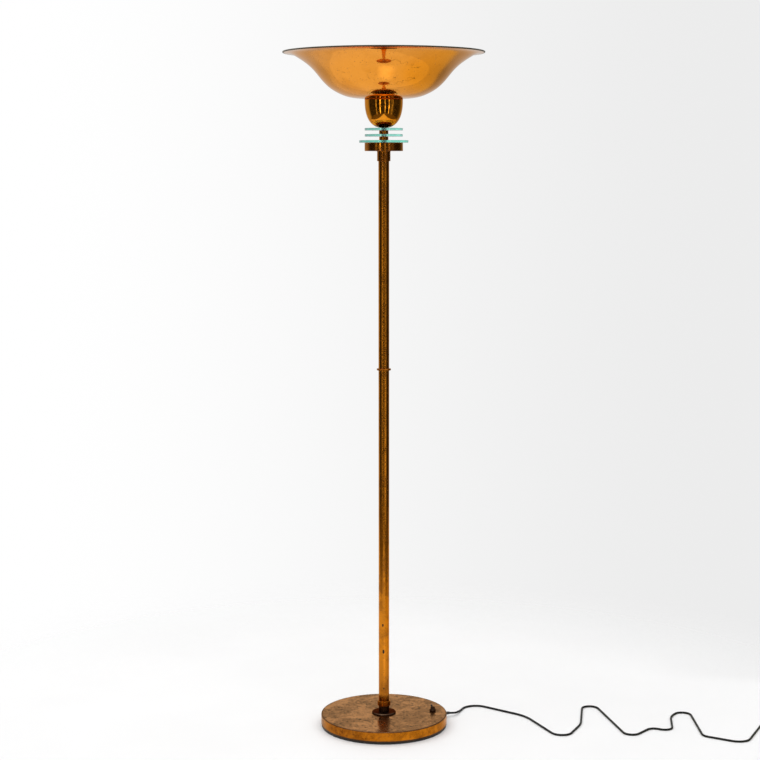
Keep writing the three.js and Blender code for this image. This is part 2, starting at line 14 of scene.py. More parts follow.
import bpy
import numpy as np
from mathutils import Euler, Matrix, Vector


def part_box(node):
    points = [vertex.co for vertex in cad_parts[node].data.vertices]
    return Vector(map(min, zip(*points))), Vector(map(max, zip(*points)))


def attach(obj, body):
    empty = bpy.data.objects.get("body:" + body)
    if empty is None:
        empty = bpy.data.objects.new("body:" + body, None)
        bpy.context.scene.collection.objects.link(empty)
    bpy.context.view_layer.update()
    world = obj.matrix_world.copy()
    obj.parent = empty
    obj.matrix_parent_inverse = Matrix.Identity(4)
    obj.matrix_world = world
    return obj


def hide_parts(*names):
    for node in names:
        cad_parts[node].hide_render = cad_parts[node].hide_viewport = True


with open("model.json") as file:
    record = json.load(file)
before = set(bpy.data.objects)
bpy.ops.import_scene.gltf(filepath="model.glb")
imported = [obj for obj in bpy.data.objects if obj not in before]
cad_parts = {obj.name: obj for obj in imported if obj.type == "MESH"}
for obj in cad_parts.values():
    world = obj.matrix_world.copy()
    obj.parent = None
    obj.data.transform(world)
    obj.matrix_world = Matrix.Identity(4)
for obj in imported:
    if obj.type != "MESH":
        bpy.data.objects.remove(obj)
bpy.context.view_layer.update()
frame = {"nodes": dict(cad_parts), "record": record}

Array = np.ndarray
Colour = tuple[float, float, float]
Range = tuple[float, float]

LOG = logging.getLogger("torchiere")
BODY = "lamp"
LEVER_BODY = "switch_lever"
MM = 0.001
CUP_BRIM_PAINTED_SHADE = 1.6590  # height above which the cup's brim is painted black: painted shade of the gap under the bowl
CUP_FOOT_PAINTED_SHADE = 1.5925  # height below which the cup's foot is painted black: painted reflection of the dark holder beneath it
BOWL_RIM = 0.2562  # radius from which the bowl's rolled edge is dark
SUPPORT = 0.0005  # distance of the extra points that keep flat sides flat beside a rounded corner
ROD_HOLE = 0.0054  # radius of the holes that the clamping rod goes through
SHEET = 0.0015  # wall of the spun copper
COLLAR_BORE = 0.0141  # radius of the sockets that the tubes stand in
SOOT = (0.018, 0.010, 0.006)  # copper gone black
COAT_IOR = 1.5  # of lacquer


# --------------------------------------------------------------------------------------------- surfaces


@dataclass
class Surface:
    """A mesh as whole arrays: points, faces by corner index, and one texture coordinate per face corner."""

    points: Array
    quads: Array
    quad_uv: Array
    triangles: Array
    triangle_uv: Array

    def moved(self, offset: Sequence[float]) -> "Surface":
        """The same surface shifted by an offset.

        Args:
            offset: the shift along X, Y and Z, in metres.

        Returns:
            A new surface that shares the faces.
        """
        return Surface(self.points + np.asarray(offset), self.quads, self.quad_uv, self.triangles,
                       self.triangle_uv)

    def turned(self, rotation: Euler) -> "Surface":
        """The same surface turned about the origin.

        Args:
            rotation: the turn, as Euler angles.

        Returns:
            A new surface that shares the faces.
        """
        matrix = np.array(rotation.to_matrix())
        return Surface(self.points @ matrix.T, self.quads, self.quad_uv, self.triangles, self.triangle_uv)


def grid_surface(rows: Array, closed_rows: bool, start_pole: bool, end_pole: bool) -> Surface:
    """Faces over a grid of points whose columns go round and close on themselves.

    Quad (i, j) joins point (i, j) to (i, j+1), (i+1, j+1) and (i+1, j). A pole row is shrunk to one point,
    and the quads beside it become triangles.

    Args:
        rows: points, shape (rows, columns, 3).
        closed_rows: whether the last row joins the first.
        start_pole: whether the first row is one point.
        end_pole: whether the last row is one point.

    Returns:
        The closed surface.
    """
    count, columns = rows.shape[:2]
    index = np.arange(count * columns).reshape(count, columns)
    if start_pole:
        index[0] = index[0, 0]
    if end_pole:
        index[-1] = index[-1, 0]
    lengths = np.linalg.norm(np.diff(rows[:, 0], axis=0, append=rows[:1, 0]), axis=1)
    along = np.concatenate([[0.0], np.cumsum(lengths)])
    low = np.arange(count if closed_rows else count - 1)
    high = (low + 1) % count
    column = np.arange(columns)
    following = (column + 1) % columns
    faces = np.stack([index[low][:, column], index[low][:, following], index[high][:, following],
                      index[high][:, column]], axis=-1)
    around = np.stack([column, column + 1, column + 1, column], axis=-1) / columns
    upward = np.stack([along[low], along[low], along[low + 1], along[low + 1]], axis=-1)
    uv = np.stack(np.broadcast_arrays(around[None, :, :], upward[:, None, :]), axis=-1)
    first, last = int(start_pole), len(low) - int(end_pole)
    fans, fan_uv = [], []
    if start_pole:
        fans.append(faces[0][:, [0, 2, 3]])
        fan_uv.append(uv[0][:, [0, 2, 3]])
    if end_pole:
        fans.append(faces[-1][:, [0, 1, 2]])
        fan_uv.append(uv[-1][:, [0, 1, 2]])
    triangles = np.concatenate(fans) if fans else np.zeros((0, 3), int)
    triangle_uv = np.concatenate(fan_uv) if fan_uv else np.zeros((0, 3, 2))
    return Surface(rows.reshape(-1, 3), faces[first:last].reshape(-1, 4), uv[first:last].reshape(-1, 4, 2),
                   triangles, triangle_uv)


def revolved(outline: Array, segments: int = 160) -> Surface:
    """A surface of revolution about Z.

    point(i, j) = (r_i cos a_j, r_i sin a_j, z_i), with a_j = 2 pi j / segments. An outline that starts and
    ends on the axis closes there in poles; any other one closes by joining its last point to its first.

    Args:
        outline: radius and height of each outline point, running upwards on the outside.
        segments: number of steps round the axis.

    Returns:
        The closed surface.
    """
    angle = 2 * np.pi * np.arange(segments) / segments
    radius, height = outline[:, :1], outline[:, 1:]
    rows = np.stack(np.broadcast_arrays(radius * np.cos(angle), radius * np.sin(angle), height), axis=-1)
    on_axis = outline[0, 0] < 1e-9 and outline[-1, 0] < 1e-9
    return grid_surface(rows, not on_axis, on_axis, on_axis)


def swept(path: Array, radii: Array, sides: int = 16) -> Surface:
    """A round tube along a path, with closed ends.

    Ring i lies across the path's tangent t_i, spanned by s_i = unit(Z x t_i) and u_i = t_i x s_i:
    point(i, j) = p_i + radius_i (cos a_j s_i + sin a_j u_i). One more ring at each end shrinks to a point.

    Args:
        path: the centre line, shape (n, 3), never vertical.
        radii: the tube's radius at each point of the path.
        sides: number of steps round the tube.

    Returns:
        The closed surface.
    """
    tangent = np.gradient(path, axis=0)
    tangent /= np.linalg.norm(tangent, axis=1, keepdims=True)
    side = np.cross([0.0, 0.0, 1.0], tangent)
    side /= np.linalg.norm(side, axis=1, keepdims=True)
    up = np.cross(tangent, side)
    angle = 2 * np.pi * np.arange(sides) / sides
    ring = np.cos(angle)[None, :, None] * side[:, None, :] + np.sin(angle)[None, :, None] * up[:, None, :]
    rows = path[:, None, :] + radii[:, None, None] * ring
    caps = np.broadcast_to(path[[0, -1], None, :], (2, sides, 3))
    rows = np.concatenate([caps[:1], rows, caps[1:]])
    return grid_surface(rows, False, True, True)


def fillets(corners: Array, rounding: Array, closed: bool, steps: int) -> list[Array]:
    """The arcs that round the corners of a line.

    A corner where the unit direction `into` turns by t into `out` gets an arc of radius q, which starts
    q tan(t / 2) before it: start + q (sin a into + (1 - cos a) across), for a from 0 to t. `across` is the unit
    part of `out` that is square to `into`.

    Args:
        corners: the corner points, in two or three dimensions.
        rounding: the radius at each corner.
        closed: whether the last corner joins the first; the two ends of an open line are kept as they are.
        steps: number of steps of each arc.

    Returns:
        One array of points for each corner.
    """
    into = corners - np.roll(corners, 1, axis=0)
    into /= np.linalg.norm(into, axis=1, keepdims=True)
    out = np.roll(into, -1, axis=0)
    cosine = np.sum(into * out, axis=1, keepdims=True)
    across = out - cosine * into
    sine = np.linalg.norm(across, axis=1, keepdims=True)
    across /= np.maximum(sine, 1e-12)
    turn = np.arctan2(sine, cosine)
    start = corners - rounding[:, None] * np.tan(turn / 2) * into
    angle = turn[:, :, None] * np.linspace(0, 1, steps + 1)[None, :, None]
    arcs = start[:, None] + rounding[:, None, None] * (
        np.sin(angle) * into[:, None] + (1 - np.cos(angle)) * across[:, None])
    if not closed:
        return [corners[:1], *arcs[1:-1], corners[-1:]]
    return list(arcs)


def rounded_outline(corners: Sequence[tuple[float, float, float]], closed: bool = True, steps: int = 5) -> Array:
    """An outline whose corners are rounded by arcs.

    Each straight side gets one more point close to either end, so that smooth shading stays flat along it.

    Args:
        corners: radius, height and rounding of each corner.
        closed: whether the last corner joins the first; the two ends of an open outline are kept sharp.
        steps: number of steps of each arc.

    Returns:
        The outline's points, shape (n, 2).
    """
    table = np.array(corners)
    arcs = fillets(table[:, :2], table[:, 2], closed, steps)
    pieces = []
    for i, arc in enumerate(arcs):
        before, after = arcs[i - 1][-1], arcs[(i + 1) % len(arcs)][0]
        lead, trail = before - arc[0], after - arc[-1]
        near_before = arc[:1] + lead * min(0.35, SUPPORT / max(float(np.linalg.norm(lead)), 1e-9))
        near_after = arc[-1:] + trail * min(0.35, SUPPORT / max(float(np.linalg.norm(trail)), 1e-9))
        first = [] if not closed and i == 0 else [near_before]
        last = [] if not closed and i == len(arcs) - 1 else [near_after]
        pieces += [*first, arc, *last]
    outline = np.concatenate(pieces)
    apart = np.linalg.norm(outline - np.roll(outline, 1, axis=0), axis=1) > 1e-7
    return outline[apart]


def ring_outline(inner: float, outer: float, bottom: float, top: float, edge: float) -> Array:
    """The outline of a ring of rectangular section.

    Args:
        inner: radius of the hole.
        outer: outer radius.
        bottom: height of the lower face.
        top: height of the upper face.
        edge: rounding of the two outer edges.

    Returns:
        The outline's points.
    """
    fine = min(edge, 0.0002)
    return rounded_outline([(inner, bottom, fine), (outer, bottom, edge), (outer, top, edge), (inner, top, fine)])


def natural_spline(knots: Array, samples: int) -> tuple[Array, Array]:
    """A smooth curve through knots, as two cubic splines over the length of the chords.

    The second derivatives m solve h_i m_i + 2 (h_i + h_i+1) m_i+1 + h_i+1 m_i+2 = 6 (slope_i+1 - slope_i), with
    zero curvature at both ends.

    Args:
        knots: the points to pass through, shape (n, 2).
        samples: number of points wanted along the curve.

    Returns:
        The curve's points and its unit tangents.
    """
    chord = np.linalg.norm(np.diff(knots, axis=0), axis=1)
    station = np.concatenate([[0.0], np.cumsum(chord)])
    count = len(knots)
    system = np.eye(count)
    inner = np.arange(1, count - 1)
    system[inner, inner - 1] = chord[:-1]
    system[inner, inner] = 2 * (chord[:-1] + chord[1:])
    system[inner, inner + 1] = chord[1:]
    slope = np.diff(knots, axis=0) / chord[:, None]
    right = np.zeros_like(knots)
    right[1:-1] = 6 * np.diff(slope, axis=0)
    bend = np.linalg.solve(system, right)
    at = np.linspace(0, station[-1], samples)
    cell = np.clip(np.searchsorted(station, at, side="right") - 1, 0, count - 2)
    width = chord[cell][:, None]
    b = (at - station[cell])[:, None] / width
    a = 1 - b
    low, high = knots[cell], knots[cell + 1]
    points = a * low + b * high + ((a**3 - a) * bend[cell] + (b**3 - b) * bend[cell + 1]) * width**2 / 6
    tangent = (high - low) / width + (-(3 * a**2 - 1) * bend[cell] + (3 * b**2 - 1) * bend[cell + 1]) * width / 6
    return points, tangent / np.linalg.norm(tangent, axis=1, keepdims=True)


def make_piece(name: str, surface: Surface, material: bpy.types.Material,
               nodes: Sequence[str] = (), body: str = BODY) -> bpy.types.Object:
    """Puts a surface into the scene as a piece of the lamp.

    Args:
        name: the piece's name.
        surface: its shape.
        material: its finish.
        nodes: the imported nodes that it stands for.
        body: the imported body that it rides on.

    Returns:
        The new object.
    """
    mesh = bpy.data.meshes.new(name)
    used, compact = np.unique(np.concatenate([surface.quads.ravel(), surface.triangles.ravel()]),
                              return_inverse=True)
    split = surface.quads.size
    faces = compact[:split].reshape(-1, 4).tolist() + compact[split:].reshape(-1, 3).tolist()
    mesh.from_pydata(surface.points[used].tolist(), [], faces)
    layer = mesh.uv_layers.new(name="UVMap")
    uv = np.concatenate([surface.quad_uv.reshape(-1, 2), surface.triangle_uv.reshape(-1, 2)])
    layer.data.foreach_set("uv", uv.ravel().astype(np.float32))
    mesh.shade_smooth()
    mesh.materials.append(material)
    mesh.update()
    piece = bpy.data.objects.new(name, mesh)
    bpy.context.scene.collection.objects.link(piece)
    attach(piece, body)
    if nodes:
        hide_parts(*nodes)
    LOG.info("%s: %d faces", name, len(faces))
    return piece


@dataclass(frozen=True)
class NodeSpan:
    """Where a packed round node lies: its centre, radius, bottom and top, in metres."""

    x: float
    y: float
    radius: float
    bottom: float
    top: float

    @classmethod
    def of(cls, node: str) -> "NodeSpan":
        """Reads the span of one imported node.

        Args:
            node: the node's name.

        Returns:
            Its span.
        """
        low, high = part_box(node)
        return cls((low[0] + high[0]) / 2, (low[1] + high[1]) / 2, (high[0] - low[0]) / 2, low[2], high[2])

    @property
    def height(self) -> float:
        """From the bottom to the top."""
        return self.top - self.bottom


# ------------------------------------------------------------------------------------------- node wiring


class Graph:
    """Adds nodes to one node tree and wires them."""

    def __init__(self, tree: bpy.types.NodeTree) -> None:
        """Keeps the tree."""
        self.tree = tree

    def add(self, kind: str, **settings: object) -> bpy.types.Node:
        """Adds one node.

        Args:
            kind: the node's type.
            settings: properties to set on it.

        Returns:
            The new node.
        """
        node = self.tree.nodes.new(kind)
        for name, value in settings.items():
            setattr(node, name, value)
        return node

    def feed(self, socket: bpy.types.NodeSocket, value: object) -> None:
        """Links a socket to another one, or gives it a constant.

        Args:
            socket: the input to feed.
            value: an output socket, a number, a colour or a vector.
        """
        if isinstance(value, bpy.types.NodeSocket):
            self.tree.links.new(value, socket)
        elif socket.type == "RGBA":
            socket.default_value = (*value, 1.0)
        else:
            socket.default_value = value

    def math(self, operation: str, *values: object) -> bpy.types.NodeSocket:
        """Does arithmetic on one or two values.

        Args:
            operation: the Math node's operation.
            values: sockets or numbers.

        Returns:
            The result's socket.
        """
        node = self.add("ShaderNodeMath", operation=operation)
        for socket, value in zip(node.inputs, values):
            self.feed(socket, value)
        return node.outputs[0]

    def scaled(self, vector: bpy.types.NodeSocket, scale: Sequence[float],
               turn: Sequence[float] = (0.0, 0.0, 0.0)) -> bpy.types.NodeSocket:
        """Stretches and turns a pattern's coordinates.

        Args:
            vector: the coordinates.
            scale: the factor along each axis.
            turn: the rotation about each axis, in radians.

        Returns:
            The new coordinates.
        """
        node = self.add("ShaderNodeMapping")
        self.feed(node.inputs["Vector"], vector)
        node.inputs["Scale"].default_value = scale
        node.inputs["Rotation"].default_value = turn
        return node.outputs[0]

    def noise(self, vector: bpy.types.NodeSocket, scale: object, detail: float = 4.0, roughness: float = 0.55,
              distortion: float = 0.0) -> bpy.types.NodeSocket:
        """A noise value between 0 and 1.

        Args:
            vector: where to read it.
            scale: its scale.
            detail: how many octaves it has.
            roughness: how strong the finer octaves are.
            distortion: how far it is warped.

        Returns:
            The value's socket.
        """
        node = self.add("ShaderNodeTexNoise")
        self.feed(node.inputs["Vector"], vector)
        self.feed(node.inputs["Scale"], scale)
        self.feed(node.inputs["Detail"], detail)
        self.feed(node.inputs["Roughness"], roughness)
        self.feed(node.inputs["Distortion"], distortion)
        return node.outputs["Fac"]

    def mapped(self, value: object, low: object, high: object, to_low: object = 0.0,
               to_high: object = 1.0) -> bpy.types.NodeSocket:
        """Maps a range smoothly onto another and holds it at the ends.

        Args:
            value: the value to map.
            low: the start of its range.
            high: the end of its range.
            to_low: the result at the start.
            to_high: the result at the end.

        Returns:
            The result's socket.
        """
        node = self.add("ShaderNodeMapRange", interpolation_type="SMOOTHSTEP")
        for socket, given in zip(node.inputs, (value, low, high, to_low, to_high)):
            self.feed(socket, given)
        return node.outputs[0]

    def blended(self, factor: object, first: object, second: object,
                mode: str = "MIX") -> bpy.types.NodeSocket:
        """Mixes two colours.

        Args:
            factor: how much of the second shows.
            first: the first colour.
            second: the second colour.
            mode: the way of mixing.

        Returns:
            The mixed colour's socket.
        """
        node = self.add("ShaderNodeMix", data_type="RGBA", blend_type=mode)
        self.feed(node.inputs[0], factor)
        self.feed(node.inputs[6], first)
        self.feed(node.inputs[7], second)
        return node.outputs[2]

    def parts(self, vector: bpy.types.NodeSocket) -> Sequence[bpy.types.NodeSocket]:
        """Splits a vector.

        Args:
            vector: the vector's socket.

        Returns:
            The sockets of its X, Y and Z.
        """
        node = self.add("ShaderNodeSeparateXYZ")
        self.feed(node.inputs[0], vector)
        return node.outputs

    def placed(self, group: bpy.types.NodeTree, **values: object) -> bpy.types.NodeSocket:
        """Places a node group.

        Args:
            group: the group.
            values: what its inputs get, by name.

        Returns:
            Its first output.
        """
        node = self.add("ShaderNodeGroup", node_tree=group)
        for name, value in values.items():
            self.feed(node.inputs[name], value)
        return node.outputs[0]

    def relief(self, height: bpy.types.NodeSocket, distance: float, strength: float,
               normal: bpy.types.NodeSocket | None = None) -> bpy.types.NodeSocket:
        """A normal bent by a height.

        Args:
            height: the height's socket, about 0 to 1.
            distance: how deep the whole height is, in metres.
            strength: how much of it shows.
            normal: a normal to start from.

        Returns:
            The normal's socket.
        """
        node = self.add("ShaderNodeBump")
        self.feed(node.inputs["Height"], height)
        self.feed(node.inputs["Distance"], distance)
        self.feed(node.inputs["Strength"], strength)
        if normal is not None:
            self.feed(node.inputs["Normal"], normal)
        return node.outputs[0]


def new_group(name: str, output: str,
              **inputs: object) -> tuple[bpy.types.NodeTree, Graph, dict[str, bpy.types.NodeSocket],
                                         bpy.types.NodeSocket]:
    """Starts a shader node group with named sockets.

    Args:
        name: the group's name.
        output: the name of its one output, a value.
        inputs: each input's default; None makes a vector input.

    Returns:
        The group, its graph, its inputs by name, and the output's socket.
    """
    group = bpy.data.node_groups.new(name, "ShaderNodeTree")
    for key, value in inputs.items():
        kind = "NodeSocketVector" if value is None else "NodeSocketFloat"
        socket = group.interface.new_socket(key, in_out="INPUT", socket_type=kind)
        if value is not None:
            socket.default_value = value
    group.interface.new_socket(output, in_out="OUTPUT", socket_type="NodeSocketFloat")
    graph = Graph(group)
    source, sink = graph.add("NodeGroupInput"), graph.add("NodeGroupOutput")
    return group, graph, {key: source.outputs[key] for key in inputs}, sink.inputs[output]


def patina_group() -> bpy.types.NodeTree:
    """Cloudy patches: two sizes of noise, cut at a height that leaves the wanted share of the surface.

    Returns:
        The group.
    """
    group, graph, given, out = new_group("Patina", "Mask", Vector=None, Scale=10.0, Coverage=0.5, Softness=0.1)
    broad = graph.noise(given["Vector"], given["Scale"], 5.0, 0.6, 0.8)
    fine = graph.noise(given["Vector"], graph.math("MULTIPLY", given["Scale"], 5.3), 6.0, 0.65, 0.3)
    value = graph.math("ADD", graph.math("MULTIPLY", broad, 0.62), graph.math("MULTIPLY", fine, 0.38))
    middle = graph.math("SUBTRACT", 0.72, graph.math("MULTIPLY", given["Coverage"], 0.44))
    low = graph.math("SUBTRACT", middle, given["Softness"])
    high = graph.math("ADD", middle, given["Softness"])
    graph.feed(out, graph.mapped(value, low, high))
    return group


def hairline_group() -> bpy.types.NodeTree:
    """Hairline scratches: the peaks of noise that is drawn out thirty times along two slanting directions.

    Returns:
        The group.
    """
    group, graph, given, out = new_group("Hairlines", "Mask", Vector=None, Amount=0.5)
    low = graph.math("SUBTRACT", 0.74, graph.math("MULTIPLY", given["Amount"], 0.12))
    high = graph.math("ADD", low, 0.06)
    masks = []
    for turn in ((0.4, 0.9, 0.2), (-0.7, 0.3, 1.1)):
        drawn = graph.scaled(given["Vector"], (1.0, 1.0, 0.03), turn)
        masks.append(graph.mapped(graph.noise(drawn, 1400.0, 2.0, 0.5), low, high))
    graph.feed(out, graph.math("MAXIMUM", *masks))
    return group


def spin_group() -> bpy.types.NodeTree:
    """Turning lines: noise that changes fast along the outline, V, and slowly round the axis, U.

    Returns:
        The group.
    """
    group, graph, given, out = new_group("SpinLines", "Height", UV=None, Pitch=900.0)
    around, along, _ = graph.parts(given["UV"])
    join = graph.add("ShaderNodeCombineXYZ")
    graph.feed(join.inputs[0], graph.math("MULTIPLY", around, 2.0))
    graph.feed(join.inputs[1], graph.math("MULTIPLY", along, given["Pitch"]))
    graph.feed(out, graph.noise(join.outputs[0], 1.0, 3.0, 0.6))
    return group


def speck_group() -> bpy.types.NodeTree:
    """Pits and specks: the middles of scattered cells whose size changes from one to the next.

    Returns:
        The group.
    """
    group, graph, given, out = new_group("Specks", "Mask", Vector=None, Scale=300.0, Size=0.12)
    cells = graph.add("ShaderNodeTexVoronoi")
    graph.feed(cells.inputs["Vector"], given["Vector"])
    graph.feed(cells.inputs["Scale"], given["Scale"])
    split = graph.add("ShaderNodeSeparateColor")
    graph.feed(split.inputs[0], cells.outputs["Color"])
    size = graph.math("MULTIPLY", given["Size"], graph.math("POWER", split.outputs[0], 3.0))
    graph.feed(out, graph.mapped(cells.outputs["Distance"], size, graph.math("MULTIPLY", size, 0.5)))
    return group


def dust_group() -> bpy.types.NodeTree:
    """Dust: fine noise, thick where the surface faces up and thin on its flanks.

    Returns:
        The group.
    """
    group, graph, given, out = new_group("Dust", "Mask", Vector=None, Amount=0.3)
    _, _, upward = graph.parts(graph.add("ShaderNodeNewGeometry").outputs["Normal"])
    facing = graph.mapped(upward, -0.2, 1.0, 0.15, 1.0)
    grain = graph.mapped(graph.noise(given["Vector"], 450.0, 6.0, 0.7), 0.35, 0.75)
    graph.feed(out, graph.math("MULTIPLY", graph.math("MULTIPLY", facing, grain), given["Amount"]))
    return group


@dataclass(frozen=True)
class Effects:
    """The node groups that several finishes share."""

    patina: bpy.types.NodeTree
    hairlines: bpy.types.NodeTree
    spin: bpy.types.NodeTree
    specks: bpy.types.NodeTree
    dust: bpy.types.NodeTree

    @classmethod
    def built(cls) -> "Effects":
        """Builds every group once."""
        return cls(patina_group(), hairline_group(), spin_group(), speck_group(), dust_group())


class Sheet:
    """One material in the making: its graph, its Principled shader and its coordinates."""

    def __init__(self, name: str, effects: Effects) -> None:
        """Starts a material.

        Args:
            name: the material's name.
            effects: the shared node groups.
        """
        self.material = bpy.data.materials.new(name)
        self.material.use_nodes = True
        tree = self.material.node_tree
        self.graph = Graph(tree)
        self.shader = tree.nodes["Principled BSDF"]
        self.output = tree.nodes["Material Output"]
        self.effects = effects
        coordinates = self.graph.add("ShaderNodeTexCoord")
        self.place = coordinates.outputs["Object"]
        self.uv = coordinates.outputs["UV"]

    def mask(self, group: bpy.types.NodeTree, **values: object) -> bpy.types.NodeSocket:
        """Places a shared effect at the piece's own coordinates.

        Args:
            group: the effect's node group.
            values: what its other inputs get, by name.

        Returns:
            The mask's socket.
        """
        return self.graph.placed(group, Vector=self.place, **values)

    def set(self, **values: object) -> None:
        """Feeds the Principled shader.

        Args:
            values: a value for each socket, with the socket's words joined by underscores.
        """
        for name, value in values.items():
            self.graph.feed(self.shader.inputs[name.replace("_", " ")], value)


# ---------------------------------------------------------------------------------------------- finishes


@dataclass(frozen=True)
class Finish:
    """A named finish; each kind of finish wires itself in its own way."""

    name: str

    def material(self, effects: Effects) -> bpy.types.Material:
        """Builds the material.

        Args:
            effects: the shared node groups.

        Returns:
            The material.
        """
        sheet = Sheet(self.name, effects)
        self.dress(sheet)
        return sheet.material

    def dress(self, sheet: Sheet) -> None:
        """Wires the finish into its material."""
        raise NotImplementedError


@dataclass(frozen=True)
class Chip:
    """A small bare spot in a finish: its middle and radius, in metres."""

    x: float
    y: float
    z: float
    radius: float


@dataclass(frozen=True)
class Copper(Finish):
    """Polished copper under old lacquer, with brown tarnish, turning lines and hairlines.

    It is painted black between the heights of each band, as painted shade, dark from `rim_radius` outwards, and
    duller from `dull_below` + `dull_fade` down; the last two are out of the way unless they are given.
    """

    bright: Colour = (0.62, 0.205, 0.009)
    tarnish: Colour = (0.30, 0.095, 0.006)
    tarnish_scale: float = 9.0
    coverage: float = 0.42
    roughness: float = 0.10
    tarnish_roughness: float = 0.24
    lacquer: float = 0.08
    lacquer_roughness: float = 0.06
    spin_pitch: float = 1400.0
    spin_depth: float = 0.10
    spin_height: float = 0.00004
    waviness: float = 0.35
    wave_height: float = 0.0006
    wave_scale: float = 38.0
    grime_coverage: float = 0.22
    grime_fineness: float = 7.0
    speck_scale: float = 210.0
    speck_size: float = 0.34
    scratches: float = 0.5
    dust: float = 0.03
    dust_tone: Colour = (0.50, 0.42, 0.34)
    glancing: Colour = (1.0, 0.82, 0.55)
    # painted shade: bands of height that are painted near-black
    black_bands: tuple[tuple[float, float], ...] = ()
    band_tone: Colour = (0.020, 0.010, 0.006)
    band_raggedness: float = 0.0012
    rim_radius: float = 9.0
    rim_tone: Colour = (0.060, 0.048, 0.028)
    edge_blur: float = 0.0006
    dull_below: float = -1.0
    dull_fade: float = 0.13
    dullness: float = 0.55
    chips: tuple[Chip, ...] = ()

    def dress(self, sheet: Sheet) -> None:
        """Wires the finish into its material.

        Args:
            sheet: the material in the making.
        """
        g = sheet.graph
        patches = sheet.mask(sheet.effects.patina, Scale=self.tarnish_scale, Coverage=self.coverage, Softness=0.09)
        specks = sheet.mask(sheet.effects.specks, Scale=self.speck_scale, Size=self.speck_size)
        scratches = sheet.mask(sheet.effects.hairlines, Amount=self.scratches)
        dust = sheet.mask(sheet.effects.dust, Amount=self.dust)
        colour = self.tarnished(sheet, patches, specks)
        colour, marks = self.blackened(sheet, colour, specks)
        colour = g.blended(dust, colour, self.dust_tone)
        rough = g.mapped(patches, 0.0, 1.0, self.roughness, self.tarnish_roughness)
        rough = g.math("ADD", rough, g.math("MULTIPLY", scratches, 0.12))
        rough = g.math("ADD", rough, g.math("MULTIPLY", marks, 0.3))
        normal = g.relief(g.placed(sheet.effects.spin, UV=sheet.uv, Pitch=self.spin_pitch), self.spin_height,
                          self.spin_depth)
        normal = g.relief(g.noise(sheet.place, self.wave_scale, 2.0, 0.5), self.wave_height, self.waviness, normal)
        normal = g.relief(g.math("SUBTRACT", 1.0, g.math("MAXIMUM", scratches, marks)), 0.00003, 0.5, normal)
        sheet.set(Base_Color=colour, Metallic=g.mapped(g.math("MAXIMUM", marks, dust), 0.1, 1.0, 1.0, 0.35),
                  Roughness=rough, Specular_Tint=self.glancing,
                  Coat_Weight=g.math("MULTIPLY", g.math("SUBTRACT", 1.0, marks), self.lacquer),
                  Coat_Roughness=self.lacquer_roughness, Coat_IOR=COAT_IOR, Normal=normal)

    def tarnished(self, sheet: Sheet, patches: bpy.types.NodeSocket,
                  specks: bpy.types.NodeSocket) -> bpy.types.NodeSocket:
        """The copper's colour with its tarnish, grime and specks.

        Args:
            sheet: the material in the making.
            patches: the mask of the tarnish.
            specks: the mask of the specks.

        Returns:
            The colour's socket.
        """
        g = sheet.graph
        deep = tuple(0.45 * c for c in self.tarnish)
        _, _, height = g.parts(sheet.place)
        dull = g.mapped(height, self.dull_below + self.dull_fade, self.dull_below, 0.0, self.dullness)
        cover = g.math("MINIMUM", g.math("ADD", g.math("MULTIPLY", patches, 0.8), dull), 1.0)
        grime = sheet.mask(sheet.effects.patina, Scale=self.tarnish_scale * self.grime_fineness,
                           Coverage=self.grime_coverage, Softness=0.05)
        colour = g.blended(cover, self.bright, self.tarnish)
        colour = g.blended(g.math("MULTIPLY", grime, 0.45), colour, deep)
        return g.blended(g.math("MULTIPLY", specks, 0.75), colour, deep)

    def blackened(self, sheet: Sheet, colour: bpy.types.NodeSocket,
                  marks: bpy.types.NodeSocket) -> tuple[bpy.types.NodeSocket, bpy.types.NodeSocket]:
        """Adds the chips, the bands of painted shade and the dark rim.

        Args:
            sheet: the material in the making.
            colour: the colour so far.
            marks: the mask of everything that is no longer bare metal so far.

        Returns:
            The new colour and the new mask.
        """
        g = sheet.graph
        for chip in self.chips:
            spot = self.chip_mask(sheet, chip)
            colour = g.blended(spot, colour, SOOT)
            marks = g.math("MAXIMUM", marks, spot)
        x, y, z = g.parts(sheet.place)
        ragged = g.math("MULTIPLY", g.math("SUBTRACT", g.noise(sheet.place, 220.0, 4.0), 0.5), self.band_raggedness)
        level = g.math("ADD", z, ragged)
        # painted shade: each band turns the copper near-black
        for low, high in self.black_bands:
            shade = g.math("MULTIPLY", g.mapped(level, low - self.edge_blur, low + self.edge_blur),
                           g.mapped(level, high + 1.5 * self.edge_blur, high - 1.5 * self.edge_blur))
            colour = g.blended(g.math("MULTIPLY", shade, 0.93), colour, self.band_tone)
            marks = g.math("MAXIMUM", marks, g.math("MULTIPLY", shade, 0.6))
        if self.rim_radius < 1.0:
            across = g.math("SQRT", g.math("ADD", g.math("POWER", x, 2.0), g.math("POWER", y, 2.0)))
            rim = g.mapped(across, self.rim_radius - self.edge_blur, self.rim_radius + self.edge_blur)
            colour = g.blended(rim, colour, self.rim_tone)
            marks = g.math("MAXIMUM", marks, rim)
        return colour, marks

    @staticmethod
    def chip_mask(sheet: Sheet, chip: Chip) -> bpy.types.NodeSocket:
        """A ragged spot round a chip's middle, twice as tall as it is wide.

        Args:
            sheet: the material in the making.
            chip: the chip.

        Returns:
            The mask's socket, 1 inside the spot.
        """
        g = sheet.graph
        distance = g.add("ShaderNodeVectorMath", operation="DISTANCE")
        g.feed(distance.inputs[0], g.scaled(sheet.place, (1.0, 1.0, 0.5)))
        distance.inputs[1].default_value = (chip.x, chip.y, chip.z / 2)
        ragged = g.math("MULTIPLY", g.noise(sheet.place, 500.0, 3.0), chip.radius)
        reach = g.math("ADD", distance.outputs["Value"], ragged)
        return g.mapped(reach, 1.55 * chip.radius, 1.25 * chip.radius)


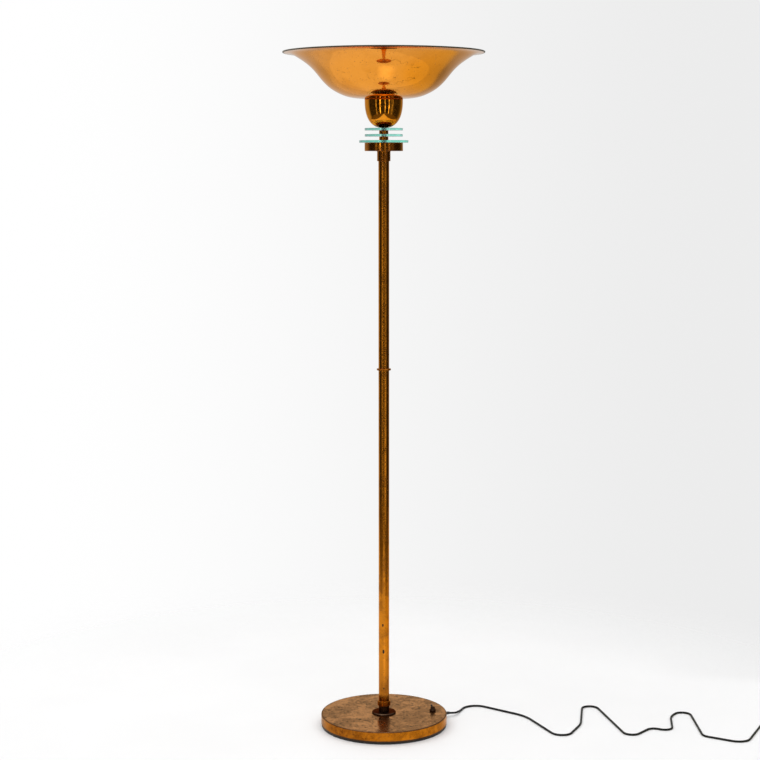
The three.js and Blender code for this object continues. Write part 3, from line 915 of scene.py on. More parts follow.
@dataclass(frozen=True)
class BaseCopper(Finish):
    """The cover of the base: mottled brown on top, brighter and patchy on its skirt, dark along its edge, painted
    shade at its foot.

    `radius` and `top` are the cover's own; the skirt is painted darker towards the left as painted shade, over a
    given range along X.
    """

    radius: float
    top: float
    top_bright: Colour = (0.61, 0.270, 0.100)
    top_brown: Colour = (0.140, 0.053, 0.021)
    side_bright: Colour = (0.56, 0.175, 0.003)
    side_brown: Colour = (0.17, 0.045, 0.003)
    edge: Colour = (0.040, 0.024, 0.012)
    worn_edge: Colour = (0.085, 0.038, 0.018)
    foot_tone: Colour = (0.014, 0.010, 0.008)
    # painted shade: near-black at the skirt's foot, for the shadow and gap at the floor beside the rubber pad
    foot_range: Range = (0.0094, 0.0078)
    dust_tone: Colour = (0.55, 0.50, 0.44)
    glancing: Colour = (1.0, 0.80, 0.58)
    # painted shade: the skirt's left side is painted darker, by up to `dullness`
    dulled_range: Range = (0.04, -0.13)
    dullness: float = 0.45
    wander: float = 0.005
    speck_scale: float = 120.0
    speck_size: float = 0.75
    speck_warp_scale: float = 160.0
    speck_warp: float = 0.009

    def dress(self, sheet: Sheet) -> None:
        """Wires the finish into its material.

        Args:
            sheet: the material in the making.
        """
        g = sheet.graph
        x, y, height = g.parts(sheet.place)
        on_top = g.mapped(height, self.top - 0.0012, self.top - 0.0004)
        broad = sheet.mask(sheet.effects.patina, Scale=17.0, Coverage=0.52, Softness=0.07)
        small = sheet.mask(sheet.effects.patina, Scale=75.0, Coverage=0.45, Softness=0.05)
        mottle = g.math("ADD", g.math("MULTIPLY", broad, 0.65), g.math("MULTIPLY", small, 0.4))
        specks = g.math("MULTIPLY", self.bent_specks(sheet), g.mapped(on_top, 0.0, 1.0, 0.22, 0.8))
        scratches = sheet.mask(sheet.effects.hairlines, Amount=0.8)
        dust = sheet.mask(sheet.effects.dust, Amount=0.05)
        wander = g.math("MULTIPLY", g.math("SUBTRACT", g.noise(sheet.place, 60.0, 5.0), 0.5), self.wander)
        rim = self.rim_mask(sheet, x, y, height, wander)
        # painted shade: the skirt goes near-black over its lowest millimetres, for the shadow and gap at the floor
        foot = g.mapped(g.math("ADD", height, g.math("MULTIPLY", wander, 0.3)), *self.foot_range)
        top_colour = g.blended(mottle, self.top_bright, self.top_brown)
        # painted shade on the skirt's left side
        left_painted_shade = g.mapped(x, *self.dulled_range, 0.0, self.dullness)
        side_colour = g.blended(g.math("ADD", g.math("MULTIPLY", mottle, 0.55), left_painted_shade), self.side_bright,
                                self.side_brown)
        colour = g.blended(on_top, side_colour, top_colour)
        colour = g.blended(specks, colour, self.edge)
        colour = g.blended(g.math("MULTIPLY", rim, 0.82), colour, self.worn_edge)
        colour = g.blended(g.math("MULTIPLY", foot, 0.95), colour, self.foot_tone)
        colour = g.blended(dust, colour, self.dust_tone)
        marks = g.math("MAXIMUM", rim, g.math("MAXIMUM", foot, specks))
        rough = g.mapped(mottle, 0.0, 1.0, 0.13, 0.30)
        rough = g.math("ADD", rough, g.math("MULTIPLY", marks, 0.25))
        rough = g.math("ADD", rough, g.math("MULTIPLY", scratches, 0.12))
        normal = g.relief(g.noise(sheet.place, 26.0, 3.0, 0.5), 0.0008, 0.35)
        normal = g.relief(mottle, 0.00008, 0.6, normal)
        normal = g.relief(g.math("SUBTRACT", 1.0, g.math("MAXIMUM", scratches, specks)), 0.00005, 0.6, normal)
        sheet.set(Base_Color=colour, Metallic=g.mapped(g.math("MAXIMUM", foot, dust), 0.0, 1.0, 1.0, 0.35),
                  Roughness=rough, Specular_Tint=self.glancing, Coat_Weight=g.mapped(mottle, 0.0, 1.0, 0.08, 0.02),
                  Coat_Roughness=0.14, Coat_IOR=COAT_IOR, Normal=normal)

    def bent_specks(self, sheet: Sheet) -> bpy.types.NodeSocket:
        """Specks whose outlines are bent by a noise.

        Args:
            sheet: the material in the making.

        Returns:
            The mask's socket.
        """
        g = sheet.graph
        warp = g.add("ShaderNodeTexNoise")
        g.feed(warp.inputs["Vector"], sheet.place)
        g.feed(warp.inputs["Scale"], self.speck_warp_scale)
        shift = g.add("ShaderNodeVectorMath", operation="SCALE")
        g.feed(shift.inputs[0], warp.outputs["Color"])
        g.feed(shift.inputs["Scale"], self.speck_warp)
        bent = g.add("ShaderNodeVectorMath", operation="ADD")
        g.feed(bent.inputs[0], sheet.place)
        g.feed(bent.inputs[1], shift.outputs[0])
        return g.placed(sheet.effects.specks, Vector=bent.outputs[0], Scale=self.speck_scale, Size=self.speck_size)

    def rim_mask(self, sheet: Sheet, x: bpy.types.NodeSocket, y: bpy.types.NodeSocket,
                 height: bpy.types.NodeSocket, wander: bpy.types.NodeSocket) -> bpy.types.NodeSocket:
        """The darker band along the edge between the top and the skirt.

        Args:
            sheet: the material in the making.
            x: the place along X.
            y: the place along Y.
            height: the place along Z.
            wander: how far the edge wanders.

        Returns:
            The mask's socket.
        """
        g = sheet.graph
        flat = g.add("ShaderNodeCombineXYZ")
        g.feed(flat.inputs[0], x)
        g.feed(flat.inputs[1], y)
        length = g.add("ShaderNodeVectorMath", operation="LENGTH")
        g.feed(length.inputs[0], flat.outputs[0])
        outward = g.math("ADD", length.outputs["Value"], wander)
        band = g.mapped(outward, self.radius - 0.0042, self.radius - 0.0022)
        return g.math("MULTIPLY", band, g.mapped(height, self.top - 0.0030, self.top - 0.0016))


@dataclass(frozen=True)
class DarkMetal(Finish):
    """Darkened or plated metal: two tones in patches, fine grain, some pitting.

    Its roughness goes from `roughness` in the first tone to `roughness` + `spread` in the second.
    """

    first: Colour
    second: Colour
    roughness: float = 0.3
    spread: float = 0.2
    scale: float = 60.0
    coverage: float = 0.5
    metallic: float = 1.0
    dust: float = 0.18
    dust_tone: Colour = (0.45, 0.42, 0.38)
    pit_scale: float = 600.0
    grain_scale: float = 900.0
    glancing: Colour = (1.0, 1.0, 1.0)

    def dress(self, sheet: Sheet) -> None:
        """Wires the finish into its material.

        Args:
            sheet: the material in the making.
        """
        g = sheet.graph
        patches = sheet.mask(sheet.effects.patina, Scale=self.scale, Coverage=self.coverage, Softness=0.08)
        pits = sheet.mask(sheet.effects.specks, Scale=self.pit_scale, Size=0.35)
        dust = sheet.mask(sheet.effects.dust, Amount=self.dust)
        colour = g.blended(patches, self.first, self.second)
        colour = g.blended(g.math("MULTIPLY", pits, 0.5), colour, tuple(0.4 * c for c in self.second))
        colour = g.blended(dust, colour, self.dust_tone)
        rough = g.mapped(patches, 0.0, 1.0, self.roughness, self.roughness + self.spread)
        grain = g.noise(sheet.place, self.grain_scale, 4.0, 0.6)
        sheet.set(Base_Color=colour, Metallic=self.metallic, Roughness=rough, Specular_Tint=self.glancing,
                  Normal=g.relief(grain, 0.00006, 0.4))


@dataclass(frozen=True)
class Moulded(Finish):
    """Plastic, rubber or glazed clay: a tone with faint clouds, a fine skin texture and some dust."""

    tone: Colour
    cloud: Colour
    roughness: float = 0.35
    grain_scale: float = 1500.0
    grain: float = 0.3
    dust: float = 0.12
    coat: float = 0.0
    specular: float = 0.5
    dust_tone: Colour = (0.40, 0.38, 0.35)

    def dress(self, sheet: Sheet) -> None:
        """Wires the finish into its material.

        Args:
            sheet: the material in the making.
        """
        g = sheet.graph
        clouds = sheet.mask(sheet.effects.patina, Scale=40.0, Coverage=0.4, Softness=0.15)
        dust = sheet.mask(sheet.effects.dust, Amount=self.dust)
        colour = g.blended(g.math("MULTIPLY", clouds, 0.6), self.tone, self.cloud)
        colour = g.blended(dust, colour, self.dust_tone)
        rough = g.math("ADD", self.roughness, g.math("MULTIPLY", g.math("ADD", clouds, dust), 0.12))
        skin = g.noise(sheet.place, self.grain_scale, 3.0, 0.55)
        sheet.set(Base_Color=colour, Roughness=rough, Coat_Weight=self.coat, Specular_IOR_Level=self.specular,
                  Normal=g.relief(skin, 0.00005, self.grain))


@dataclass(frozen=True)
class ClearGlass(Finish):
    """Float glass: green through its thickness, faintly smeared and scratched."""

    clean: Colour = (0.97, 1.0, 0.99)
    smeared: Colour = (0.93, 0.975, 0.96)
    absorbed: Colour = (0.30, 0.91, 0.80)
    density: float = 15.0
    ior: float = 1.52

    def dress(self, sheet: Sheet) -> None:
        """Wires the finish into its material.

        Args:
            sheet: the material in the making.
        """
        g = sheet.graph
        smear = sheet.mask(sheet.effects.patina, Scale=30.0, Coverage=0.3, Softness=0.12)
        scratches = sheet.mask(sheet.effects.hairlines, Amount=0.4)
        rough = g.math("ADD", g.math("MULTIPLY", smear, 0.02), g.math("MULTIPLY", scratches, 0.08))
        colour = g.blended(smear, self.clean, self.smeared)
        sheet.set(Base_Color=colour, Roughness=rough, IOR=self.ior, Transmission_Weight=1.0)
        volume = g.add("ShaderNodeVolumeAbsorption")
        volume.inputs["Color"].default_value = (*self.absorbed, 1.0)
        volume.inputs["Density"].default_value = self.density
        g.feed(sheet.output.inputs["Volume"], volume.outputs[0])


@dataclass(frozen=True)
class FrostedGlass(Finish):
    """A bulb's glass, frosted inside: milky, with a soft shine."""

    tone: Colour = (0.95, 0.94, 0.91)
    cloud: Colour = (0.90, 0.89, 0.86)
    dust_tone: Colour = (0.70, 0.66, 0.60)
    passing: float = 0.55
    ior: float = 1.45

    def dress(self, sheet: Sheet) -> None:
        """Wires the finish into its material.

        Args:
            sheet: the material in the making.
        """
        g = sheet.graph
        clouds = sheet.mask(sheet.effects.patina, Scale=35.0, Coverage=0.5, Softness=0.2)
        dust = sheet.mask(sheet.effects.dust, Amount=0.2)
        colour = g.blended(clouds, self.tone, self.cloud)
        colour = g.blended(dust, colour, self.dust_tone)
        rough = g.mapped(clouds, 0.0, 1.0, 0.30, 0.40)
        sheet.set(Base_Color=colour, Roughness=rough, IOR=self.ior, Transmission_Weight=self.passing,
                  Normal=g.relief(g.noise(sheet.place, 900.0, 3.0), 0.00004, 0.4))


@dataclass(frozen=True)
class Palette:
    """Every finish of the lamp as a built material."""

    pole: bpy.types.Material
    fittings: bpy.types.Material
    cup: bpy.types.Material
    bowl: bpy.types.Material
    base: bpy.types.Material
    bronze: bpy.types.Material
    zinc: bpy.types.Material
    brass: bpy.types.Material
    iron: bpy.types.Material
    glass: bpy.types.Material
    bulb: bpy.types.Material
    porcelain: bpy.types.Material
    plastic: bpy.types.Material
    rubber: bpy.types.Material
    cord: bpy.types.Material

    @classmethod
    def built(cls, effects: Effects, base: NodeSpan, pole_radius: float) -> "Palette":
        """Builds every material.

        Args:
            effects: the shared node groups.
            base: the span of the base's cover.
            pole_radius: radius of the pole.

        Returns:
            The palette.
        """
        front = -pole_radius
        chips = (Chip(-0.0030, front, 0.276, 0.0024), Chip(-0.0012, front, 0.204, 0.0030),
                 Chip(0.0, front, 0.103, 0.0016), Chip(0.006, front + 0.002, 0.418, 0.0012))
        finishes = dict(
            pole=Copper("PoleCopper", chips=chips, dust=0.06, dull_below=0.09),
            fittings=Copper("FittingCopper", tarnish=(0.24, 0.065, 0.006), tarnish_scale=26.0, coverage=0.6,
                            roughness=0.10),
            # the cup's two bands are painted shade: its foot, where it mirrors the dark holder, and its brim, at the
            # gap under the bowl
            cup=Copper("CupCopper", bright=(0.78, 0.27, 0.012), tarnish_scale=14.0, coverage=0.30, roughness=0.025,
                       tarnish_roughness=0.05, spin_depth=0.03, waviness=0.35,
                       black_bands=((1.58, CUP_FOOT_PAINTED_SHADE), (CUP_BRIM_PAINTED_SHADE, 1.67))),
            bowl=Copper("BowlCopper", bright=(0.80, 0.305, 0.034), tarnish=(0.66, 0.235, 0.018), tarnish_scale=5.0,
                        coverage=0.4, roughness=0.035, tarnish_roughness=0.08, spin_pitch=1100.0, spin_depth=0.04,
                        waviness=0.06, dust=0.012, glancing=(1.0, 0.90, 0.74), rim_radius=BOWL_RIM),
            base=BaseCopper("BaseCopper", base.radius, base.top),
            bronze=DarkMetal("DarkBronze", (0.110, 0.066, 0.038), (0.045, 0.022, 0.012), 0.20, 0.20, 70.0, 0.60,
                             dust=0.05, glancing=(0.50, 0.33, 0.22)),
            zinc=DarkMetal("ZincSteel", (0.62, 0.63, 0.62), (0.45, 0.46, 0.47), 0.26, 0.14),
            brass=DarkMetal("ContactBrass", (0.72, 0.52, 0.20), (0.50, 0.33, 0.13), 0.24, 0.14),
            iron=DarkMetal("CastIron", (0.10, 0.10, 0.105), (0.06, 0.058, 0.06), 0.6, 0.15, 120.0, 0.5, 0.6),
            glass=ClearGlass("DiscGlass"),
            bulb=FrostedGlass("BulbGlass"),
            porcelain=Moulded("Porcelain", (0.82, 0.79, 0.73), (0.74, 0.70, 0.63), 0.12, 700.0, 0.1, 0.25, 0.5),
            plastic=Moulded("BlackPlastic", (0.012, 0.011, 0.011), (0.022, 0.018, 0.015), 0.22, 1200.0, 0.15),
            rubber=Moulded("BlackRubber", (0.018, 0.018, 0.018), (0.03, 0.028, 0.026), 0.55, 900.0, 0.4),
            cord=Moulded("CordVinyl", (0.006, 0.006, 0.006), (0.012, 0.011, 0.011), 0.46, 1800.0, 0.35, 0.02,
                         specular=0.22),
        )
        return cls(**{key: finish.material(effects) for key, finish in finishes.items()})


# -------------------------------------------------------------------------------------- room and camera


@dataclass(frozen=True)
class CameraStand:
    """Where the camera stands and how it is turned: metres, degrees for the pitch, radians for yaw and roll."""

    distance: float = 4.565
    height: float = 1.498
    pitch: float = 7.07
    yaw: float = 0.00222
    roll: float = -0.0006
    lens: float = 83.13
    sensor: float = 36.0

    def build(self) -> None:
        """Puts the camera in front of the lamp and makes it the scene's."""
        data = bpy.data.cameras.new("Camera")
        data.lens, data.sensor_width = self.lens, self.sensor
        camera = bpy.data.objects.new("Camera", data)
        camera.location = (0.0, -self.distance, self.height)
        aim = Euler((math.radians(90 - self.pitch), 0.0, self.yaw)).to_matrix()
        camera.rotation_euler = (aim @ Euler((0.0, 0.0, self.roll)).to_matrix()).to_euler()
        bpy.context.scene.collection.objects.link(camera)
        bpy.context.scene.camera = camera


@dataclass(frozen=True)
class PaleFloor:
    """A round pale floor whose edge fades away, with the shades that mirrors see on it.

    The eye sees it only near the lamp, over `shown_range`. Mirrors see it lit inside a wedge that widens from
    `wedge_tip` on, dimmer beyond the wall's line and to the right, warmer to the right, and with one bright spot.
    A range runs from where a change starts to where it ends, in metres.
    """

    reach: float = 2.9
    fade: float = 0.5
    corners: int = 96
    shown_range: Range = (0.75, 1.7)
    wedge_tip: float = -2.8
    wedge_slope: float = 0.62
    wedge_blur: float = 0.12
    spot_place: tuple[float, float, float] = (0.10, -0.62, 0.0)
    spot_range: Range = (0.05, 0.42)
    spot_strength: float = 0.42
    spot_tone: Colour = (1.0, 0.97, 0.92)
    wall_left: float = 1.19
    wall_right: float = 0.53
    wall_blur: float = 0.05
    wall_dim: float = 0.16
    right_range: Range = (0.8, 1.9)
    right_dim: float = 0.14
    warm_range: Range = (0.15, 1.1)
    warm_tone: Colour = (0.90, 0.80, 0.32)
    dark_tone: Colour = (0.12, 0.10, 0.085)
    tones: tuple[Colour, Colour] = ((0.90, 0.90, 0.90), (0.93, 0.93, 0.93))
    roughness: float = 0.55

    def build(self) -> None:
        """Lays the floor."""
        mesh = bpy.data.meshes.new("Floor")
        angle = 2 * np.pi * np.arange(self.corners) / self.corners
        reach = self.reach + self.fade
        points = np.stack([reach * np.cos(angle), reach * np.sin(angle), 0 * angle], axis=1)
        mesh.from_pydata(points.tolist(), [], [list(range(self.corners))])
        floor = bpy.data.objects.new("Floor", mesh)
        bpy.context.scene.collection.objects.link(floor)
        mesh.materials.append(self.material())

    def material(self) -> bpy.types.Material:
        """Builds the floor's paint.

        Returns:
            The material.
        """
        material = bpy.data.materials.new("FloorPaint")
        material.use_nodes = True
        g = Graph(material.node_tree)
        shader = material.node_tree.nodes["Principled BSDF"]
        place = g.add("ShaderNodeTexCoord").outputs["Object"]
        x, y, _ = g.parts(place)
        rays = g.add("ShaderNodeLightPath").outputs
        length = g.add("ShaderNodeVectorMath", operation="LENGTH")
        g.feed(length.inputs[0], place)
        away = length.outputs["Value"]
        whole = g.mapped(away, self.reach - self.fade, self.reach + self.fade, 1.0, 0.0)
        hidden = g.math("MULTIPLY", rays["Is Camera Ray"], g.mapped(away, *self.shown_range))
        spot = g.add("ShaderNodeVectorMath", operation="DISTANCE")
        g.feed(spot.inputs[0], place)
        spot.inputs[1].default_value = self.spot_place
        glow = g.mapped(spot.outputs["Value"], *self.spot_range, self.spot_strength, 0.0)
        clouds = g.mapped(g.noise(place, 1.5, 3.0), 0.3, 0.7)
        warmth = g.math("MULTIPLY", rays["Is Glossy Ray"], g.mapped(x, *self.warm_range))
        pale = g.blended(warmth, g.blended(clouds, *self.tones), self.warm_tone)
        shaded = g.math("MULTIPLY", rays["Is Glossy Ray"], self.shade(g, x, y))
        g.feed(shader.inputs["Base Color"], g.blended(shaded, pale, self.dark_tone))
        g.feed(shader.inputs["Roughness"], self.roughness)
        g.feed(shader.inputs["Alpha"], g.math("MULTIPLY", whole, g.math("SUBTRACT", 1.0, hidden)))
        g.feed(shader.inputs["Emission Color"], self.spot_tone)
        g.feed(shader.inputs["Emission Strength"], g.math("MULTIPLY", glow, rays["Is Glossy Ray"]))
        return material

    def shade(self, g: Graph, x: bpy.types.NodeSocket, y: bpy.types.NodeSocket) -> bpy.types.NodeSocket:
        """How dark mirrors see each place of the floor.

        Args:
            g: the paint's graph.
            x: the place along X.
            y: the place along Y.

        Returns:
            The shade's socket, 0 to 1.
        """
        width = g.math("MULTIPLY", g.math("SUBTRACT", y, self.wedge_tip), self.wedge_slope)
        inside = g.math("SUBTRACT", width, g.math("ABSOLUTE", x))
        outside = g.mapped(inside, -self.wedge_blur, self.wedge_blur, 1.0, 0.0)
        wall_line = g.mapped(x, -self.wall_blur, self.wall_blur, self.wall_left, self.wall_right)
        beyond = g.mapped(g.math("SUBTRACT", y, wall_line), 0.0, self.wall_blur)
        dim = g.math("ADD", g.math("MULTIPLY", beyond, self.wall_dim),
                     g.mapped(x, *self.right_range, 0.0, self.right_dim))
        return g.math("MAXIMUM", dim, outside)


@dataclass(frozen=True)
class Overhead:
    """One wide soft light above the lamp: metres, degrees and watts."""

    place: tuple[float, float, float] = (-0.6, -0.6, 3.8)
    tilt: float = -10.0
    width: float = 6.4
    power: float = 91.0

    def build(self) -> None:
        """Hangs the light."""
        data = bpy.data.lights.new("Overhead", "AREA")
        data.shape, data.size, data.energy = "DISK", self.width, self.power
        light = bpy.data.objects.new("Overhead", data)
        light.location = self.place
        light.rotation_euler = (math.radians(self.tilt), math.radians(self.tilt), 0.0)
        bpy.context.scene.collection.objects.link(light)


@dataclass(frozen=True)
class Room:
    """What stands round the lamp: a pale surround for the eye, and for mirrors a room.

    The room is dark and cluttered in front, with bright strips, and white at the left, behind and overhead. Its
    brightness follows the azimuth of the direction looked in: degrees, 0 straight in front, growing to the
    right. The other ranges are shares of that direction along X, Y or Z.
    """

    brightness: tuple[Range, ...] = (
        (-180, 0.66), (-120, 0.60), (-112, 0.56), (-104, 0.34), (-94, 0.035), (-52, 0.04), (-48.5, 0.6), (-46, 0.6),
        (-43, 0.035), (-25, 0.035), (-23.2, 3.0), (-21.4, 3.0), (-19.7, 0.04), (5, 0.045), (8, 1.0), (10, 1.0),
        (12.5, 0.035), (30, 0.035), (32, 2.0), (33.5, 2.0), (36, 0.04), (47, 0.15), (55, 0.32), (60, 0.22),
        (67, 0.035), (104, 0.04), (122, 0.12), (132, 0.36), (145, 0.38), (165, 0.52), (180, 0.66),
    )
    clutter_scale: float = 20.0
    clutter_stretch: tuple[float, float, float] = (1.0, 1.0, 0.6)
    clutter_cut: Range = (0.38, 0.62)
    clutter: Range = (0.25, 2.1)
    front_range: Range = (0.15, -0.15)
    ceiling_range: Range = (0.30, 0.75)
    ceiling: float = 0.95
    wall_range: Range = (-0.20, 0.20)
    wall: Range = (1.0, 0.84)
    seam_range: Range = (-0.268, -0.286)
    seen_through_glass: float = 0.4

    def build(self) -> None:
        """Makes the world."""
        world = bpy.data.worlds.new("Room")
        bpy.context.scene.world = world
        world.use_nodes = True
        g = Graph(world.node_tree)
        direction = g.add("ShaderNodeTexCoord").outputs["Generated"]
        x, _, z = g.parts(direction)
        seen = g.math("MAXIMUM", g.mapped(x, *self.wall_range, *self.wall), g.mapped(z, *self.seam_range))
        rays = g.add("ShaderNodeLightPath").outputs
        clear = g.math("MAXIMUM", rays["Is Camera Ray"],
                       g.math("MULTIPLY", rays["Is Transmission Ray"], self.seen_through_glass))
        value = g.add("ShaderNodeMix", data_type="FLOAT")
        for socket, given in zip(value.inputs[:1] + value.inputs[2:4], (clear, self.mirrored(g, direction), seen)):
            g.feed(socket, given)
        g.feed(world.node_tree.nodes["Background"].inputs["Color"], value.outputs[0])

    def mirrored(self, g: Graph, direction: bpy.types.NodeSocket) -> bpy.types.NodeSocket:
        """The brightness of the room that mirrors see.

        Args:
            g: the world's graph.
            direction: the direction looked in.

        Returns:
            The brightness's socket.
        """
        x, y, z = g.parts(direction)
        azimuth = g.math("ARCTAN2", x, g.math("MULTIPLY", y, -1.0))
        ramp = g.add("ShaderNodeValToRGB")
        elements = ramp.color_ramp.elements
        ends = self.brightness[:1] + self.brightness[-1:]
        for (degrees, value), element in zip(ends, (elements[0], elements[-1])):
            element.position, element.color = degrees / 360 + 0.5, (value, value, value, 1.0)
        for degrees, value in self.brightness[1:-1]:
            elements.new(degrees / 360 + 0.5).color = (value, value, value, 1.0)
        g.feed(ramp.inputs[0], g.math("ADD", g.math("DIVIDE", azimuth, 2 * math.pi), 0.5))
        grain = g.noise(g.scaled(direction, self.clutter_stretch), self.clutter_scale, 4.0, 0.6)
        clutter = g.mapped(grain, *self.clutter_cut, *self.clutter)
        front = g.mapped(y, *self.front_range)
        room = g.math("MULTIPLY", ramp.outputs[0], g.mapped(front, 0.0, 1.0, 1.0, clutter))
        overhead = g.mapped(z, *self.ceiling_range)
        return g.math("ADD", g.math("MULTIPLY", room, g.math("SUBTRACT", 1.0, overhead)),
                      g.math("MULTIPLY", overhead, self.ceiling))


def build_surroundings() -> None:
    """Makes the camera first, then the floor, the light and the room."""
    CameraStand().build()
    PaleFloor().build()
    Overhead().build()
    Room().build()
    bpy.context.scene.view_settings.view_transform = "Standard"


# -------------------------------------------------------------------------------------------- mains lead


@dataclass(frozen=True)
class MainsLead:
    """The lead: out of the base, over the floor in loose curves, into a small coil, and its plug.

    Each corner of its path has X, Y, Z and a rounding in millimetres; everything else is in metres.
    """

    radius: float = 0.00275
    step: float = 0.0025
    coil_x: float = 1.069
    coil_y: float = 0.042
    coil_turns: float = 3.25
    coil_radius: float = 0.032
    coil_inset: float = 0.0057
    inset_turns: Range = (0.90, 1.10)
    climb_turns: Range = (1.72, 1.98)
    climb_height: float = 0.0055
    climb_widening: float = 0.00285
    floor_gap: float = 0.00005
    plug_x: float = 1.098
    plug_y: float = 0.078
    plug_z: float = 0.00695
    corners: tuple[tuple[float, float, float, float], ...] = (
        (174.8, 63.6, 11.0, 0), (194, 70.6, 8.8, 26), (210, 110, 2.8, 90), (236, 178, 2.8, 40),
        (385, 62, 2.8, 120), (468, -141, 2.8, 28), (528, -6, 2.8, 150), (564, 262, 2.8, 22.5),
        (642, -124, 2.8, 22.5), (714, -34, 2.8, 22.5), (764, -75, 2.8, 22.5), (779, 58, 2.8, 90),
        (836, 146, 2.8, 22.5), (838, -104, 2.8, 26), (940, -165, 2.8, 35), (1021, 10, 2.8, 42), (1069, 10, 2.8, 0),
    )

    @staticmethod
    def eased(turn: Array, low: float, high: float) -> Array:
        """A smooth step between two numbers of turns.

        Args:
            turn: how many turns each point has behind it.
            low: where the step starts.
            high: where it ends.

        Returns:
            The step at each point, 0 to 1.
        """
        share = np.clip((turn - low) / (high - low), 0, 1)
        return share * share * (3 - 2 * share)

    def coil_points(self) -> Array:
        """The coil, anticlockwise from its lowest point: centre + R (cos a, sin a), where R narrows after the
        first turn and widens again as the lead climbs onto the turns below.

        Returns:
            The points, shape (n, 3).
        """
        turn = np.linspace(0.0, self.coil_turns, 220)
        climb = self.eased(turn, *self.climb_turns)
        radius = (self.coil_radius - self.coil_inset * self.eased(turn, *self.inset_turns)
                  + self.climb_widening * climb)
        angle = 2 * np.pi * turn - np.pi / 2
        height = self.radius + self.floor_gap + self.climb_height * climb
        return np.stack([self.coil_x + radius * np.cos(angle), self.coil_y + radius * np.sin(angle), height], axis=1)

    def path(self) -> Array:
        """The whole centre line, in even steps, with its corners softened by a short running average.

        Returns:
            The points, shape (n, 3).
        """
        table = np.array(self.corners) * MM
        arcs = fillets(table[:, :3], table[:, 3], False, 14)
        coil = self.coil_points()
        into_plug = np.array([[self.plug_x, self.plug_y - 0.016, 0.0072], [self.plug_x, self.plug_y, self.plug_z],
                              [self.plug_x, self.plug_y + 0.004, self.plug_z]])
        line = np.concatenate([*arcs[:-1], coil, into_plug])
        station = np.concatenate([[0.0], np.cumsum(np.linalg.norm(np.diff(line, axis=0), axis=1))])
        keep = np.concatenate([[True], np.diff(station) > 1e-7])
        count = int(station[-1] / self.step)
        at = np.linspace(0, station[-1], count + 1)
        even = np.stack([np.interp(at, station[keep], line[keep, k]) for k in range(3)], axis=1)
        weights = np.array([1.0, 2.0, 3.0, 2.0, 1.0]) / 9
        padded = np.concatenate([2 * even[:1] - even[2:0:-1], even, 2 * even[-1:] - even[-2:-4:-1]])
        return np.stack([np.convolve(padded[:, k], weights, mode="valid") for k in range(3)], axis=1)

    def lofted(self, stations: Sequence[tuple[float, float, float, float]], columns: int = 48) -> Surface:
        """A closed form along +Y. Its section at each station is a superellipse:
        x = w sgn(cos a) |cos a|^(2/n), z = h sgn(sin a) |sin a|^(2/n).

        Args:
            stations: distance along Y, half width w, half height h and power n of each section.
            columns: number of steps round each section.

        Returns:
            The surface, in place at the plug.
        """
        table = np.array(stations)
        angle = -2 * np.pi * np.arange(columns) / columns
        power = 2 / table[:, 3:4]
        across = table[:, 1:2] * np.sign(np.cos(angle)) * np.abs(np.cos(angle)) ** power
        upward = table[:, 2:3] * np.sign(np.sin(angle)) * np.abs(np.sin(angle)) ** power
        along = np.broadcast_to(table[:, :1], across.shape)
        rows = np.stack([self.plug_x + across, self.plug_y + along, self.plug_z + upward], axis=-1)
        ends = np.stack([np.broadcast_to([self.plug_x, self.plug_y + table[k, 0], self.plug_z], (columns, 3))
                         for k in (0, -1)])
        return grid_surface(np.concatenate([ends[:1], rows, ends[1:]]), False, True, True)

    def plug_surface(self) -> Surface:
        """The plug's moulding: a ribbed tapered relief that runs into a flat six-sided body.

        Returns:
            The surface.
        """
        along = np.linspace(0.0, 0.020, 81)
        rib = 0.00045 * (0.5 + 0.5 * np.tanh(6 * np.sin(2 * np.pi * along / 0.0036)))
        fade = np.clip((0.019 - along) / 0.001, 0, 1) * np.clip(along / 0.0008, 0, 1)
        relief = 0.0040 + 0.0014 * along / 0.020 - rib * fade
        first = np.stack([along, relief, relief, np.full_like(along, 2.0)], axis=1)
        body = [(0.0202, 0.0058, 0.0056, 2.2), (0.0210, 0.0080, 0.0062, 3.0), (0.0225, 0.0104, 0.0066, 4.5),
                (0.0300, 0.0157, 0.00685, 6.0), (0.0325, 0.0172, 0.00685, 6.0), (0.0345, 0.0175, 0.00685, 6.0),
                (0.0400, 0.0170, 0.00685, 6.0), (0.0445, 0.0150, 0.00685, 6.0), (0.0462, COLLAR_BORE, 0.0067, 6.0),
                (0.0468, 0.0135, 0.0062, 5.0), (0.0470, 0.0126, 0.0054, 4.0)]
        return self.lofted(first.tolist() + body)

    def pin_surface(self, offset: float) -> Surface:
        """One pin: a sleeve with a waist, then a bare round-nosed tip, turned to point along +Y.

        Args:
            offset: how far beside the plug's middle it stands.

        Returns:
            The surface.
        """
        outline = rounded_outline([
            (0, 0, 0), (0.0020, 0, 0.0002), (0.0020, 0.0100, 0.0001), (0.00188, 0.0103, 0.0001),
            (0.0020, 0.0106, 0.0001), (0.0020, 0.0187, 0.0013), (0, 0.0187, 0)], closed=False)
        pin = revolved(outline, 32).turned(Euler((-math.pi / 2, 0.0, 0.0)))
        return pin.moved((self.plug_x + offset, self.plug_y + 0.0473, self.plug_z))

    def build(self, palette: Palette) -> None:
        """Args:
            palette: the finishes.
        """
        path = self.path()
        tube = swept(path, np.full(len(path), self.radius), 14)
        lead = make_piece("mains_lead", tube, palette.cord, ("cord_run", "cord_coil", "cord_tail"))
        plug = make_piece("plug_moulding", self.plug_surface(), palette.plastic, ("plug_body",))
        pins = [make_piece(f"plug_pin_{side}_round", self.pin_surface(offset), palette.zinc,
                           (f"plug_pin_{side}",))
                for side, offset in (("left", -0.0093), ("right", 0.0093))]


# -------------------------------------------------------------------------------------------------- base


